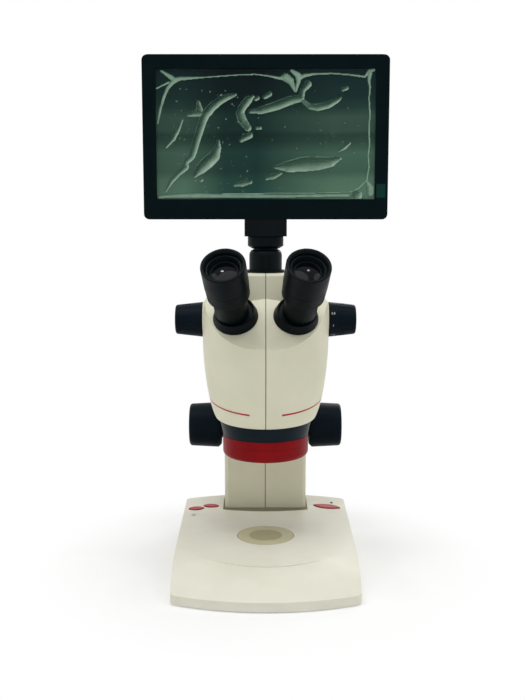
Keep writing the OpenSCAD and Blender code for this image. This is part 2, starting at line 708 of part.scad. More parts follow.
clamp_z = ring_z + ring_h / 2;
module ring_solid() rotate_extrude() polygon(concat(
  [[ring_bore_r - 1, ring_z]],
  arc([ring_r - ring_edge_r, ring_z + ring_edge_r], ring_edge_r, -90, 0, 6),
  [[ring_r, ring_top], [ring_bore_r - 1, ring_top]]
));
module lamp_zone(grow) difference() {
  translate([-lamp_half_w - grow, -2 * ring_r, ring_z - 1])
    cube([2 * (lamp_half_w + grow), 2 * ring_r, lamp_h + 1 + grow]);
  cylinder(r = lamp_wall - grow, h = 2 * ring_top);
}
module head_ring() color(RED) at_axis() difference() {
  union() {
    ring_solid();
    translate([-arm_w / 2, 0, arm_z]) cube([arm_w, core_y, arm_h]);
  }
  translate([0, 0, ring_z - 1]) cylinder(r = ring_bore_r, h = ring_h + 2);
  lamp_zone(gap / 3);
  rotate(clamp_a) along_x(0, clamp_z) cylinder(r = clamp_r + run, h = 2 * ring_r);
  arm_screw_places() translate([0, 0, arm_screw_seat - arm_screw_l - gap])
    cylinder(r = arm_screw_r + fit, h = arm_screw_l);
}
module lamp_cover() color(RED) at_axis() intersection() {
  ring_solid();
  lamp_zone(0);
}
clamp_head_r = 6;
clamp_head_l = 10;
clamp_flute_r = 1;
clamp_flute_out = 0.4;
module clamp_screw() color(BLACK) at_axis() rotate(clamp_a) along_x(0, clamp_z) {
  translate([0, 0, ring_bore_r + gap]) cylinder(r = clamp_r, h = ring_r - ring_bore_r + 1);
  difference() {
    translate([0, 0, ring_r + gap]) cylinder(r = clamp_head_r, h = clamp_head_l);
    for (a = [0:30:330]) rotate(a)
      translate([clamp_head_r + clamp_flute_out, 0, 0]) cylinder(r = clamp_flute_r, h = 2 * ring_r);
  }
}

// Head: collar, shells and optics
head_z = ring_top + collar_h;
collar_wall = 5;
spigot_up = 3;
spigot_low = ring_z + spigot_up;
collar_inset = 0.6;
thread_r = 24;
thread_l = 8;
spigot_in_r = ring_bore_r - run - collar_wall;
chassis_r = head_low_r - head_wall - gap;
rim_a = atan(rim_rise / head_low_r);
rim_top = head_z + 3 * rim_rise;
// Everything above the lower edge of the head, which is lowest at the front
module above_rim() translate([0, -head_low_r, head_z]) rotate([rim_a, 0, 0])
  translate([-2 * head_r, -head_r, 0]) cube([4 * head_r, 4 * head_r, 4 * head_r]);
module head_collar() color(BLACK) at_axis() difference() {
  rotate_extrude() polygon([
    [thread_r, spigot_low], [ring_bore_r - run, spigot_low], [ring_bore_r - run, ring_top + gap / 3],
    [ring_r - collar_inset / 2, ring_top + gap / 3], [head_low_r - collar_inset, head_z],
    [head_low_r - collar_inset, rim_top], [chassis_r + gap, rim_top], [chassis_r + gap, head_z],
    [spigot_in_r, head_z], [spigot_in_r, spigot_low + thread_l], [thread_r, spigot_low + thread_l]
  ]);
  above_rim();
}

belly_power = 0.62;
function belly_r(t) = head_low_r + (head_r - head_low_r) * pow(1 - pow(1 - t, 2), belly_power);
belly_n = 14;
belly_pace = 1.6;
shoulder_in = 1;
head_top = head_z + shoulder_h + shoulder_r;
function head_points(t) = concat(
  [[0, head_z - (t > 0 ? 1 : 0)], [head_low_r - t, head_z - (t > 0 ? 1 : 0)]],
  [for (i = [1:belly_n]) let (f = pow(i / belly_n, belly_pace))
    [belly_r(f) - t, head_z + f * belly_h]],
  arc([head_r - shoulder_in - shoulder_r, head_z + shoulder_h], shoulder_r - t, 0, 90, 7),
  [[0, head_top - t]]
);
tower_top = head_z + tower_h;
tower_round = 4;
tower_least = 0.5;
deck_y = -40;
module on_deck(side) translate([0, deck_y, head_z + deck_h + deck_y])
  rotate([eye_tilt, 0, 0]) rotate([0, side * eye_splay, 0]) children();
module head_body(side, t) difference() {
  union() {
    rotate_extrude($fn = 128) polygon(head_points(t));
    translate([0, photo_y, 0]) rotate_extrude() polygon(concat(
      [[0, head_z + belly_h], [tower_r - t, head_z + belly_h]],
      arc([tower_r - tower_round, tower_top - tower_round], max(tower_round - t, tower_least), 0, 90, 5),
      [[0, tower_top - t]]
    ));
  }
  intersection() {
    on_deck(side) translate([-2 * head_r, -2 * head_r, -t]) cube([4 * head_r, 4 * head_r, 2 * head_r]);
    translate([-2 * head_r, -3 * head_r - tower_front + t, 0]) cube([4 * head_r, 3 * head_r, 2 * tower_top]);
  }
  translate([-2 * head_r, -tower_front + t, tower_top - t]) rotate([45, 0, 0])
    translate([0, -tower_round, -2 * tower_round / 3]) cube([4 * head_r, 2 * tower_round, tower_round]);
}
zoom_z = head_z + zoom_h;
zoom_boss_out = 0.1;
zoom_face = head_r + zoom_boss_out;
zoom_boss_r = zoom_knob_r + 1;
zoom_boss_l = 11;
photo_spigot_r = photo_neck_r + gap;
flange_in_r = photo_spigot_r + 3;
module head_shell(side) color(CREAM) at_axis() difference() {
  union() {
    intersection() {
      difference() {
        head_body(side, 0);
        head_body(side, head_wall);
      }
      above_rim();
      translate([side > 0 ? seam / 2 : -2 * head_r, -2 * head_r, 0])
        cube([2 * head_r - seam / 2, 4 * head_r, 2 * tower_top]);
    }
    mirror([side < 0 ? 1 : 0, 0, 0]) along_x(zoom_y, zoom_z)
      translate([0, 0, zoom_face - zoom_boss_l]) cylinder(r = zoom_boss_r, h = zoom_boss_l);
  }
  along_x(zoom_y, zoom_z) cylinder(r = zoom_shaft_r + run, h = 4 * head_r, center = true);
  translate([0, photo_y, tower_top - 2 * head_wall]) cylinder(r = flange_in_r + fit, h = 3 * head_wall);
  on_deck(side) translate([side * eye_x, eye_up, -2 * head_wall])
    cylinder(r = eye_neck_r + run, h = 4 * head_wall);
}
module head_shell_left() head_shell(-1);
module head_shell_right() head_shell(1);

// The two light paths lean apart from the middle of the stage surface
path_a = 6;
barrel_r = 10;
barrel_bore = 8.25;
barrel_low = (spigot_low + thread_l + 3 - base_h) / cos(path_a);
module on_path(side) translate([0, 0, base_h]) rotate([0, side * path_a, 0]) children();
shelf_up = 78;
shelf_z = head_z + shelf_up;
shelf_t = 4;
shelf_w = 72;
shelf_front = 24;
chassis_t = 5;
web_w = 52;
web_y = barrel_r + 2;
barrel_top = (shelf_z + shelf_t - base_h) / cos(path_a) - barrel_r * tan(path_a) - gap;
module optics_chassis() color(ALLOY) at_axis() difference() {
  union() {
    translate([0, 0, head_z]) cylinder(r = chassis_r, h = chassis_t);
    translate([-web_w / 2, web_y, head_z]) cube([web_w, chassis_t, shelf_up + shelf_t]);
    translate([-shelf_w / 2, -shelf_front, shelf_z])
      cube([shelf_w, shelf_front + web_y + chassis_t, shelf_t]);
  }
  for (s = [-1, 1]) on_path(s) cylinder(r = barrel_r + fit, h = 2 * barrel_top);
}
module zoom_barrels() color(BLACK) at_axis() for (s = [-1, 1]) on_path(s) difference() {
  translate([0, 0, barrel_low]) cylinder(r = barrel_r, h = barrel_top - barrel_low);
  cylinder(r = barrel_bore, h = 2 * barrel_top);
}
lens_bulge = 1.2;
lens_rim = 3;
objective_up = 6;
module lens(r) rotate_extrude() {
  big_r = (r * r + lens_bulge * lens_bulge) / (2 * lens_bulge);
  a = asin(r / big_r);
  polygon(concat(
    arc([0, lens_bulge - big_r - lens_rim / 2 + lens_rim], big_r, 90 - a, 90, 6),
    arc([0, big_r - lens_bulge - lens_rim / 2], big_r, -90, a - 90, 6)
  ));
}
module objective_lenses() color(GLASS) at_axis() for (s = [-1, 1]) on_path(s)
  translate([0, 0, barrel_low + objective_up]) lens(barrel_bore - fit);
prism_w = 22;
prism_x = 21;
prism_low = 14;
prism_edge = 2;
module prisms() color(GLASS) at_axis() for (s = [-1, 1])
  translate([s * prism_x - prism_w / 2, 0, shelf_z + shelf_t])
    rotate([90, 0, 90]) linear_extrude(prism_w) polygon([
      [-prism_w, prism_edge], [prism_edge - prism_w, 0], [0, 0], [0, prism_low],
      [prism_low - prism_w, prism_w], [-prism_w, prism_w]
    ]);
flange_t = 2.7;
flange_r = 19.5;
flange_spigot = 10;
module photo_flange() color(BLACK) at_axis() translate([0, photo_y, tower_top]) difference() {
  union() {
    cylinder(r = flange_r, h = flange_t);
    translate([0, 0, -flange_spigot]) cylinder(r = flange_in_r, h = flange_spigot + flange_t);
  }
  translate([0, 0, -2 * flange_spigot]) cylinder(r = photo_spigot_r + run, h = 4 * flange_spigot);
}

// Moving zoom lenses in their cells
cell_l = 10;
cell_at = 35;
cell_wall = 1.5;
cell_lens_t = 6;
module zoom_lens(side) color(BRASS) at_axis() on_path(side) translate([0, 0, barrel_low + cell_at])
  difference() {
    cylinder(r = barrel_bore - run, h = cell_l);
    for (z = [(cell_l + cell_lens_t) / 2, -(cell_l + cell_lens_t) / 2])
      translate([0, 0, z]) cylinder(r = barrel_bore - cell_wall, h = cell_l);
  }
module zoom_lens_left() zoom_lens(-1);
module zoom_lens_right() zoom_lens(1);

// Zoom shaft and knobs
zoom_x = zoom_face + gap + zoom_boss_out;
zoom_end = zoom_x + zoom_knob_l;
zoom_cap = 6;
zoom_shaft_end = zoom_end - zoom_cap;
module zoom_shaft() color(STEEL) at_axis()
  along_x(zoom_y, zoom_z) cylinder(r = zoom_shaft_r, h = 2 * zoom_shaft_end, center = true);
drum_r = 9;
drum_l = 40;
drum_groove_w = 3;
drum_groove_d = 2;
module zoom_cam_drum() color(BRASS) at_axis() along_x(zoom_y, zoom_z) difference() {
  cylinder(r = drum_r, h = drum_l, center = true);
  cylinder(r = zoom_shaft_r + fit, h = 2 * drum_l, center = true);
  for (s = [-1, 1]) translate([0, 0, s * drum_l / 4]) difference() {
    cylinder(r = drum_r + 1, h = drum_groove_w, center = true);
    cylinder(r = drum_r - drum_groove_d, h = 2 * drum_groove_w, center = true);
  }
}
function knob_r_at(x) = zoom_knob_r + (zoom_end_r - zoom_knob_r) * (x - zoom_x) / zoom_knob_l;
zoom_round = 2.5;
flute_w = 3.2;
flute_d = 0.4;
zoom_taper = atan((zoom_knob_r - zoom_end_r) / zoom_knob_l);
flute_l = 12;
flute_end = zoom_end - 4;
module zoom_knob(side, from) mirror([side < 0 ? 1 : 0, 0, 0]) along_x(zoom_y, zoom_z) difference() {
  rotate_extrude() polygon(concat(
    [[0, from], [knob_r_at(from), from]],
    arc([zoom_end_r - zoom_round, zoom_end - zoom_round], zoom_round, 0, 90, 5),
    [[0, zoom_end]]
  ));
  cylinder(r = zoom_shaft_r + fit, h = zoom_shaft_end);
  for (i = [0:flute_n - 1]) rotate(i * 360 / flute_n)
    translate([knob_r_at(flute_end) - flute_d, 0, flute_end]) rotate([0, -zoom_taper, 0])
      translate([0, -flute_w / 2, -flute_l]) cube([zoom_knob_r, flute_w, flute_l]);
}
module zoom_knob_left() color(BLACK) at_axis() zoom_knob(-1, zoom_x);
module zoom_knob_right() color(BLACK) at_axis() zoom_knob(1, zoom_x + scale_l);
module zoom_scale_ring() color(BLACK) at_axis() along_x(zoom_y, zoom_z) rotate_extrude() polygon([
  [zoom_shaft_r + fit, zoom_x], [zoom_knob_r, zoom_x], [knob_r_at(zoom_x + scale_l), zoom_x + scale_l],
  [zoom_shaft_r + fit, zoom_x + scale_l]
]);

// Eyepieces: turning collar and tube, dioptre ring, eyecup and lens
eye_seat = gap;
neck_l = 8;
eye_collar_h = 9.5;
eye_lip_r = eye_collar_r - 2.6;
collar_rim = 1.2;
collar_dish = 2;
eye_barrel_wall = 2;
eye_barrel_r = eye_lens_r + eye_barrel_wall;
eye_barrel_over = 8;
barrel_end = dioptre_h + dioptre_l + eye_barrel_over;
module on_collar(side) on_deck(side) translate([side * eye_x, eye_up, 0]) children();
module on_tube(side) on_collar(side) translate([side * eye_offset, 0, 0]) children();
module eye_tube(side) color(BLACK) at_axis() difference() {
  union() {
    on_collar(side) translate([0, 0, -neck_l]) cylinder(r = eye_neck_r, h = neck_l + 1);
    on_collar(side) rotate_extrude() polygon([
      [0, eye_seat], [eye_collar_r, eye_seat], [eye_collar_r, eye_seat + collar_rim],
      [eye_lip_r, eye_collar_h], [eye_lip_r - collar_rim, eye_collar_h],
      [eye_lip_r - 2 * collar_rim, eye_collar_h - collar_dish], [0, eye_collar_h - collar_dish]
    ]);
    on_tube(side) translate([0, 0, 1]) cylinder(r = eye_tube_r, h = dioptre_h - gap - 1);
    on_tube(side) translate([0, 0, 1]) cylinder(r = eye_barrel_r, h = barrel_end - 1);
  }
  on_tube(side) translate([0, 0, -2 * neck_l])
    cylinder(r = eye_lens_r - eye_barrel_wall, h = 3 * barrel_end);
}
module eye_tube_left() eye_tube(-1);
module eye_tube_right() eye_tube(1);
mark_n = 16;
mark_w = 1.6;
mark_l = 2.4;
mark_d = 1;
dioptre_edge = 2;
dioptre_inset = 0.6;
module dioptre_ring(side) color(BLACK) at_axis() on_tube(side) difference() {
  rotate_extrude() polygon([
    [eye_barrel_r + run, dioptre_h], [eyecup_r - dioptre_edge, dioptre_h],
    [eyecup_r - dioptre_inset, dioptre_h + dioptre_edge],
    [eyecup_r - dioptre_inset / 3, dioptre_h + dioptre_l], [eye_barrel_r + run, dioptre_h + dioptre_l]
  ]);
  for (i = [0:mark_n - 1]) rotate(i * 360 / mark_n)
    translate([eyecup_r - dioptre_inset - mark_d, -mark_w / 2, dioptre_h - 1])
      cube([eyecup_r, mark_w, mark_l + 1]);
}
module dioptre_ring_left() dioptre_ring(-1);
module dioptre_ring_right() dioptre_ring(1);
cup_low = dioptre_h + dioptre_l + gap;
cup_top = dioptre_h + dioptre_l + eyecup_l;
cup_depth = 11;
cup_round = 1.6;
cup_lip = 4.4;
cup_step = 1.8;
cup_step_w = 1.6;
lens_rest = 1;
lens_at = cup_top - cup_depth - lens_rest;
cup_foot = barrel_end + eye_barrel_wall;
module eyecup(side) color(BLACK) at_axis() on_tube(side) rotate_extrude() polygon(concat(
  [[eye_barrel_r + run, cup_low], [eyecup_r, cup_low]],
  arc([eyecup_r - cup_round, cup_top - cup_round], cup_round, 0, 135, 5),
  [[eyecup_r - cup_lip, cup_top - 2 * cup_round], [eyecup_r - cup_lip, cup_top - 2 * cup_round - cup_step],
    [eyecup_r - cup_lip - cup_step_w, cup_top - 2 * cup_round - cup_step],
    [eye_lens_r + lens_rest, cup_top - cup_depth + lens_rest],
    [eye_lens_r + fit, cup_top - cup_depth + lens_rest],
    [eye_lens_r + fit, cup_foot], [eye_barrel_r + run, cup_foot]]
));
module eyecup_left() eyecup(-1);
module eyecup_right() eyecup(1);
module eye_lens(side) color(GLASS) at_axis() on_tube(side) translate([0, 0, lens_at]) lens(eye_lens_r);
module eye_lens_left() eye_lens(-1);
module eye_lens_right() eye_lens(1);

// Photo tube, camera and screen
photo_z = tower_top + flange_t + gap / 3;
dome_h = 6;
dome_n = 5;
photo_neck_l = 4;
photo_wall = 2.7;
photo_bore_r = photo_neck_r - photo_wall;
neck_top = photo_z + photo_h + photo_neck_l;
module photo_tube() color(BLACK) at_axis() translate([0, photo_y, 0]) rotate_extrude() polygon(concat(
  [[photo_bore_r, photo_z - flange_spigot], [photo_spigot_r, photo_z - flange_spigot],
    [photo_spigot_r, photo_z], [photo_r, photo_z]],
  [for (i = [0:dome_n]) let (a = 90 * i / dome_n)
    [photo_neck_r + (photo_r - photo_neck_r) * cos(a), photo_z + photo_h - dome_h * (1 - sin(a))]],
  [[photo_neck_r, neck_top], [photo_bore_r, neck_top]]
));
cmount_gap = 1.2;
cmount_edge = 2.6;
cmount_wall = 1.4;
cmount_chamfer = 0.8;
cmount_z = photo_z + photo_h + cmount_gap;
cmount_top = neck_top + cmount_h - cmount_wall;
module c_mount_ring() color(BLACK) at_axis() translate([0, photo_y, 0]) rotate_extrude() polygon([
  [photo_neck_r + fit, cmount_z], [photo_neck_r + cmount_wall, cmount_z], [cmount_r, cmount_z + cmount_edge],
  [cmount_r, cmount_top - cmount_chamfer], [cmount_r - cmount_chamfer, cmount_top],
  [photo_bore_r, cmount_top], [photo_bore_r, neck_top + fit], [photo_neck_r + fit, neck_top + fit]
]);
screen_z = cmount_top + camera_h;
screen_back = 1.5;
screen_y = photo_y - camera_d / 2 + screen_back;
riser_h = 44;
camera_edge_r = 3;
camera_bore_l = 8;
module camera_block() color(BLACK) at_axis() difference() {
  union() {
    translate([0, photo_y, cmount_top])
      linear_extrude(camera_h) polygon(round_rect(camera_w, camera_d, camera_edge_r, 5));
    translate([-camera_w / 2, screen_y + screen_d, screen_z])
      cube([camera_w, photo_y + camera_d / 2 - screen_y - screen_d - camera_edge_r, riser_h]);
  }
  translate([0, photo_y, cmount_top - 1]) cylinder(r = photo_bore_r, h = camera_bore_l + 1);
}
panel_t = 4;
panel_edge = 4;
film_t = 0.4;
film_back = 2.2;
window_w = screen_w - 2 * bezel_w;
window_h = screen_h - bezel_w - bezel_low_w;
window_z = screen_z + bezel_low_w;
module upright(w, h, r, y0, y1) translate([0, y1, screen_z + screen_h / 2]) rotate([90, 0, 0])
  linear_extrude(y1 - y0) polygon(round_rect(w, h, r, 6));
module in_window(grow, y0, y1) translate([-window_w / 2 - grow, y0, window_z - grow])
  cube([window_w + 2 * grow, y1 - y0, window_h + 2 * grow]);
panel_y = screen_y + film_back;
module screen_bezel() color(BLACK) at_axis() difference() {
  upright(screen_w, screen_h, screen_corner_r, screen_y, screen_y + bezel_d);
  in_window(0, screen_y - 1, screen_y + bezel_d + 1);
  in_window(panel_edge + fit, panel_y, screen_y + bezel_d + 1);
}
module screen_panel() color(SCREEN) at_axis() in_window(panel_edge, panel_y, panel_y + panel_t);
module screen_film() color(GLASS) at_axis() in_window(-gap, panel_y - film_t, panel_y);
rear_wall = 2.5;
rear_inset = 0.3;
slot_n = 10;
slot_w = 2.4;
slot_step = 6;
slot_x = 34;
slot_h = 34;
slot_up = 30;
module screen_rear_cover() color(BLACK) at_axis() difference() {
  upright(screen_w - 2 * rear_inset, screen_h - 2 * rear_inset, screen_corner_r,
    screen_y + bezel_d, screen_y + screen_d);
  upright(screen_w - 2 * rear_wall, screen_h - 2 * rear_wall, screen_corner_r - 1,
    screen_y + bezel_d - 1, screen_y + screen_d - rear_wall);
  for (s = [-1, 1], i = [0:slot_n - 1])
    translate([s * (slot_x + slot_step * i) - slot_w / 2, screen_y, screen_z + slot_up])
      cube([slot_w, 2 * screen_d, slot_h]);
}

base_cover();
base_plate();
rubber_feet();
base_screws();
pillar_skirt();
stage_ring();
stage_glass();
stage_lamp_housing();
stage_led_board();
button_boards();
power_indicator();
power_inlet();
lamp_button_front();
lamp_button_rear();
lamp_rocker();
pillar_core();
guide_rods();
focus_bushes();
pillar_cover_left();
pillar_cover_right();
focus_shaft();
focus_pinion();
focus_knob_left();
focus_knob_right();
focus_carriage();
focus_rack();
head_ring();
arm_screws();
lamp_cover();
clamp_screw();
head_collar();
head_shell_left();
head_shell_right();
optics_chassis();
zoom_barrels();
objective_lenses();
prisms();
photo_flange();
zoom_lens_left();
zoom_lens_right();
zoom_shaft();
zoom_cam_drum();
zoom_knob_left();
zoom_knob_right();
zoom_scale_ring();
eye_tube_left();
eye_tube_right();
dioptre_ring_left();
dioptre_ring_right();
eyecup_left();
eyecup_right();
eye_lens_left();
eye_lens_right();
photo_tube();
c_mount_ring();
camera_block();
screen_rear_cover();
screen_bezel();
screen_panel();
screen_film();
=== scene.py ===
"""Looks of the stereo microscope with screen camera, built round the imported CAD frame, in metres."""

import math
import random

import bpy
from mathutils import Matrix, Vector
from mathutils.bvhtree import BVHTree


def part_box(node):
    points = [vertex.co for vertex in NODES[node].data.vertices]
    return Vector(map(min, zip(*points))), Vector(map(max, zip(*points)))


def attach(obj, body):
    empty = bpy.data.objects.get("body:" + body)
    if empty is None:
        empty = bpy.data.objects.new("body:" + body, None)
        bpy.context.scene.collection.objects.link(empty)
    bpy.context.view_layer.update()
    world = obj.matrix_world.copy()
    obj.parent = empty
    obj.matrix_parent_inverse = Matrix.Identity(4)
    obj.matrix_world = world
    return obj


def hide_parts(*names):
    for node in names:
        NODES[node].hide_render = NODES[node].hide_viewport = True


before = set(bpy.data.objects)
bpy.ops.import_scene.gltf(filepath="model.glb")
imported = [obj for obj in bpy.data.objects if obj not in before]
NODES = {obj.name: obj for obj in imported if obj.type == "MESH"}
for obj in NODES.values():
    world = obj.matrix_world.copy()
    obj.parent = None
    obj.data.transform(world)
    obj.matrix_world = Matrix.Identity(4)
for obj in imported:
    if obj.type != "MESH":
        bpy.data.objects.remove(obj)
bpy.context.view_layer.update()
MM = 0.001

# Camera of the photograph: the picture's height and focal length in pixels, place, and pitch down in degrees
IMAGE_H = 700
FOCAL_PX = 940
SENSOR = 36.0
CAMERA_AT = Vector((-3.2, -960, 357)) * MM
CAMERA_PITCH = 7.9
CAMERA_REACH = 20.0

# Axes of the object
OPTICAL_Y = -8 * MM
ZOOM_AXIS = Vector((0, 6, 255)) * MM
DOWN = Vector((0, 0, -1))


def srgb(r, g, b):
    """Linear colour of an sRGB triple from 0 to 255."""
    def linear(c):
        c /= 255
        return c / 12.92 if c <= 0.04045 else ((c + 0.055) / 1.055) ** 2.4
    return (linear(r), linear(g), linear(b), 1.0)


class Material:
    """A Principled material whose colour, roughness and bump come from noise in object space."""

    DARK_AT, LIGHT_AT = 0.35, 0.65

    def __init__(self, name, **sockets):
        self.mat = bpy.data.materials.new(name)
        self.mat.use_nodes = True
        self.tree = self.mat.node_tree
        self.shader = self.tree.nodes["Principled BSDF"]
        self.coords = self.node("ShaderNodeTexCoord").outputs["Object"]
        for key, value in sockets.items():
            self.shader.inputs[key.replace("_", " ")].default_value = value

    def node(self, kind, **settings):
        """A new node with these settings."""
        made = self.tree.nodes.new(kind)
        for key, value in settings.items():
            setattr(made, key, value)
        return made

    def link(self, a, b):
        self.tree.links.new(a, b)

    def axes(self):
        """The place in object space, as X, Y and Z."""
        split = self.node("ShaderNodeSeparateXYZ")
        self.link(self.coords, split.inputs["Vector"])
        return split.outputs

    def noise(self, scale, detail=2.0, stretch=(1, 1, 1)):
        """A noise field of so many cells in a metre."""
        mapping = self.node("ShaderNodeMapping")
        mapping.inputs["Scale"].default_value = stretch
        self.link(self.coords, mapping.inputs["Vector"])
        field = self.node("ShaderNodeTexNoise")
        field.inputs["Scale"].default_value = scale
        field.inputs["Detail"].default_value = detail
        self.link(mapping.outputs["Vector"], field.inputs["Vector"])
        return field.outputs["Fac"]

    def ramp(self, factor, stops):
        """Colours at places along a factor."""
        made = self.node("ShaderNodeValToRGB")
        bar = made.color_ramp
        while len(bar.elements) < len(stops):
            bar.elements.new(0.5)
        for element, (place, colour) in zip(bar.elements, stops):
            element.position = place
            element.color = colour
        self.link(factor, made.inputs["Fac"])
        return made.outputs["Color"]

    def span(self, factor, low, high, start=0.3, stop=0.7):
        """A factor from start to stop, turned into a value from low to high."""
        made = self.node("ShaderNodeMapRange")
        for key, value in (("From Min", start), ("From Max", stop), ("To Min", low), ("To Max", high)):
            made.inputs[key].default_value = value
        self.link(factor, made.inputs["Value"])
        return made.outputs["Result"]

    def plus(self, factor, share, base):
        """A share of one factor added to another."""
        made = self.node("ShaderNodeMath", operation="MULTIPLY_ADD")
        self.link(factor, made.inputs[0])
        made.inputs[1].default_value = share
        self.link(base, made.inputs[2])
        return made.outputs[0]

    def shade(self, colour, by):
        """One colour multiplied by another."""
        made = self.node("ShaderNodeMix", data_type="RGBA", blend_type="MULTIPLY")
        made.inputs["Factor"].default_value = 1.0
        self.link(colour, made.inputs["A"])
        self.link(by, made.inputs["B"])
        return made.outputs["Result"]

    def colour(self, source):
        self.link(source, self.shader.inputs["Base Color"])
        return self

    def clouds(self, scale, dark, light, stretch=(1, 1, 1)):
        """Soft cloudy change between two near colours."""
        return self.ramp(self.noise(scale, 3, stretch), [(self.DARK_AT, dark), (self.LIGHT_AT, light)])

    def tones(self, scale, dark, light, stretch=(1, 1, 1)):
        return self.colour(self.clouds(scale, dark, light, stretch))

    def rough(self, scale, low, high, stretch=(1, 1, 1)):
        self.link(self.span(self.noise(scale, 3, stretch), low, high), self.shader.inputs["Roughness"])
        return self

    def bump(self, scale, height, stretch=(1, 1, 1), detail=2.0):
        """Grain of so many cells in a metre and a height in metres."""
        made = self.node("ShaderNodeBump")
        made.inputs["Strength"].default_value = 1.0
        made.inputs["Distance"].default_value = height
        self.link(self.noise(scale, detail, stretch), made.inputs["Height"])
        self.link(made.outputs["Normal"], self.shader.inputs["Normal"])
        return self


# Noise cells in a metre for tone and gloss of moulded, machined and glass surfaces, and the marks on metal
MOULD_TONE, MOULD_GLOSS = 35, 60
METAL_TONE, METAL_GLOSS = 300, 500
MARK_CELLS, MARK_DEPTH = 1500, 4e-6
GLASS_TONE, GLASS_GLOSS, GLASS_LIGHTER = 120, 400, 1.04

# Joint between two halves at x = 0: how far its dark line of painted shade and dirt reaches, and the line's
# tones outwards
SEAM_REACH = 1 * MM
SEAM_SHADE_TONES = [(0.32, (0.22, 0.23, 0.17, 1)), (0.55, (1, 1, 1, 1))]


def moulded(name, dark, light, rough, grain, depth, **sockets):
    """Moulded or painted surface: cloudy tone, uneven gloss and a fine grain."""
    made = Material(name, **sockets).tones(MOULD_TONE, dark, light)
    return made.rough(MOULD_GLOSS, *rough).bump(grain, depth).mat


def seamed(name, dark, light, rough, grain, depth, **sockets):
    """Moulded surface whose joint between the left and the right half is a dark line of painted shade and
    dirt.
    """
    made = Material(name, **sockets).rough(MOULD_GLOSS, *rough).bump(grain, depth)
    aside = made.node("ShaderNodeMath", operation="ABSOLUTE")
    made.link(made.axes()["X"], aside.inputs[0])
    # Dark line of painted shade and dirt along the joint, fading out within SEAM_REACH of x = 0
    line = made.ramp(made.span(aside.outputs[0], 0, 1, 0, SEAM_REACH), SEAM_SHADE_TONES)
    return made.colour(made.shade(made.clouds(MOULD_TONE, dark, light), line)).mat


def machined(name, dark, light, rough, stretch, **sockets):
    """Turned or brushed metal with its marks along one direction."""
    made = Material(name, Metallic=1.0, **sockets).tones(METAL_TONE, dark, light, stretch)
    return made.rough(METAL_GLOSS, *rough, stretch).bump(MARK_CELLS, MARK_DEPTH, stretch).mat


# Display: tones of its painted reflection from its lower to its upper edge, and how much of them is left from
# left to right
DISPLAY_REFLECTION_BANDS = [
    (0.10, srgb(90, 124, 104)), (0.20, srgb(84, 117, 98)), (0.26, srgb(66, 97, 82)),
    (0.40, srgb(70, 102, 86)), (0.48, srgb(48, 75, 64)), (0.53, srgb(42, 67, 58)),
    (0.56, srgb(54, 81, 70)), (0.66, srgb(56, 83, 71)), (0.73, srgb(36, 60, 54)),
    (0.80, srgb(25, 49, 47)), (0.97, srgb(17, 40, 42)),
]
DISPLAY_REFLECTION_COLUMNS = [
    (0.0, (0.75, 0.75, 0.75, 1)), (0.14, (0.9, 0.9, 0.9, 1)), (0.32, (0.22, 0.35, 0.40, 1)),
    (0.46, (0.17, 0.31, 0.37, 1)), (0.62, (0.62, 0.68, 0.7, 1)), (0.8, (1, 1, 1, 1)),
]
# Noise that makes the painted reflection's bands wavy: cells in a metre, stretch and share
WAVE_CELLS, WAVE_STRETCH, WAVE_SHARE = 9, (1, 1, 0.5), 0.06


def display_material():
    """Switched-off display glass: dark green-grey with a painted reflection of soft level bands, darkest left
    of the middle.
    """
    made = Material("display", Roughness=0.1, Specular_IOR_Level=0.07)
    place = made.axes()
    low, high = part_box("screen_panel")
    height = made.span(place["Z"], 0, 1, low.z, high.z)
    across = made.span(place["X"], 0, 1, low.x, high.x)
    # Painted reflection: level bands made wavy by noise, dimmed across the width by the columns
    level = made.plus(made.noise(WAVE_CELLS, 1, WAVE_STRETCH), WAVE_SHARE, height)
    return made.colour(made.shade(made.ramp(level, DISPLAY_REFLECTION_BANDS), made.ramp(across, DISPLAY_REFLECTION_COLUMNS))).mat


# Film: tones from the painted shade of its dark flanks to the painted highlight of its light flanks, and the
# noise that makes them uneven
FILM_PAINTED_TONES = [
    (0.10, srgb(14, 38, 34)), (0.45, srgb(74, 108, 90)), (0.80, srgb(152, 186, 162)),
    (1.0, srgb(206, 226, 210)),
]
FILM_CELLS, FILM_UNEVEN = 160, 0.2


def film_material():
    """Clear protective film: seen only where it is raised, with a painted highlight on one flank and painted
    shade on the other.
    """
    made = Material("film", Roughness=0.2, Specular_IOR_Level=0.15)
    veil = made.node("ShaderNodeAttribute", attribute_name="veil").outputs["Fac"]
    shine = made.node("ShaderNodeAttribute", attribute_name="shine").outputs["Fac"]
    made.link(veil, made.shader.inputs["Alpha"])
    return made.colour(made.ramp(made.plus(made.noise(FILM_CELLS), FILM_UNEVEN, shine), FILM_PAINTED_TONES)).mat


def glass_material(name, tint, rough, transmission, dust, gloss=0.5):
    """Glass with a faint film of dust that changes its gloss."""
    made = Material(name, IOR=1.5, Transmission_Weight=transmission, Specular_IOR_Level=gloss)
    light = tuple(min(1.0, c * GLASS_LIGHTER) for c in tint[:3]) + (1.0,)
    return made.tones(GLASS_TONE, tint, light).rough(GLASS_GLOSS, rough, rough + dust).mat


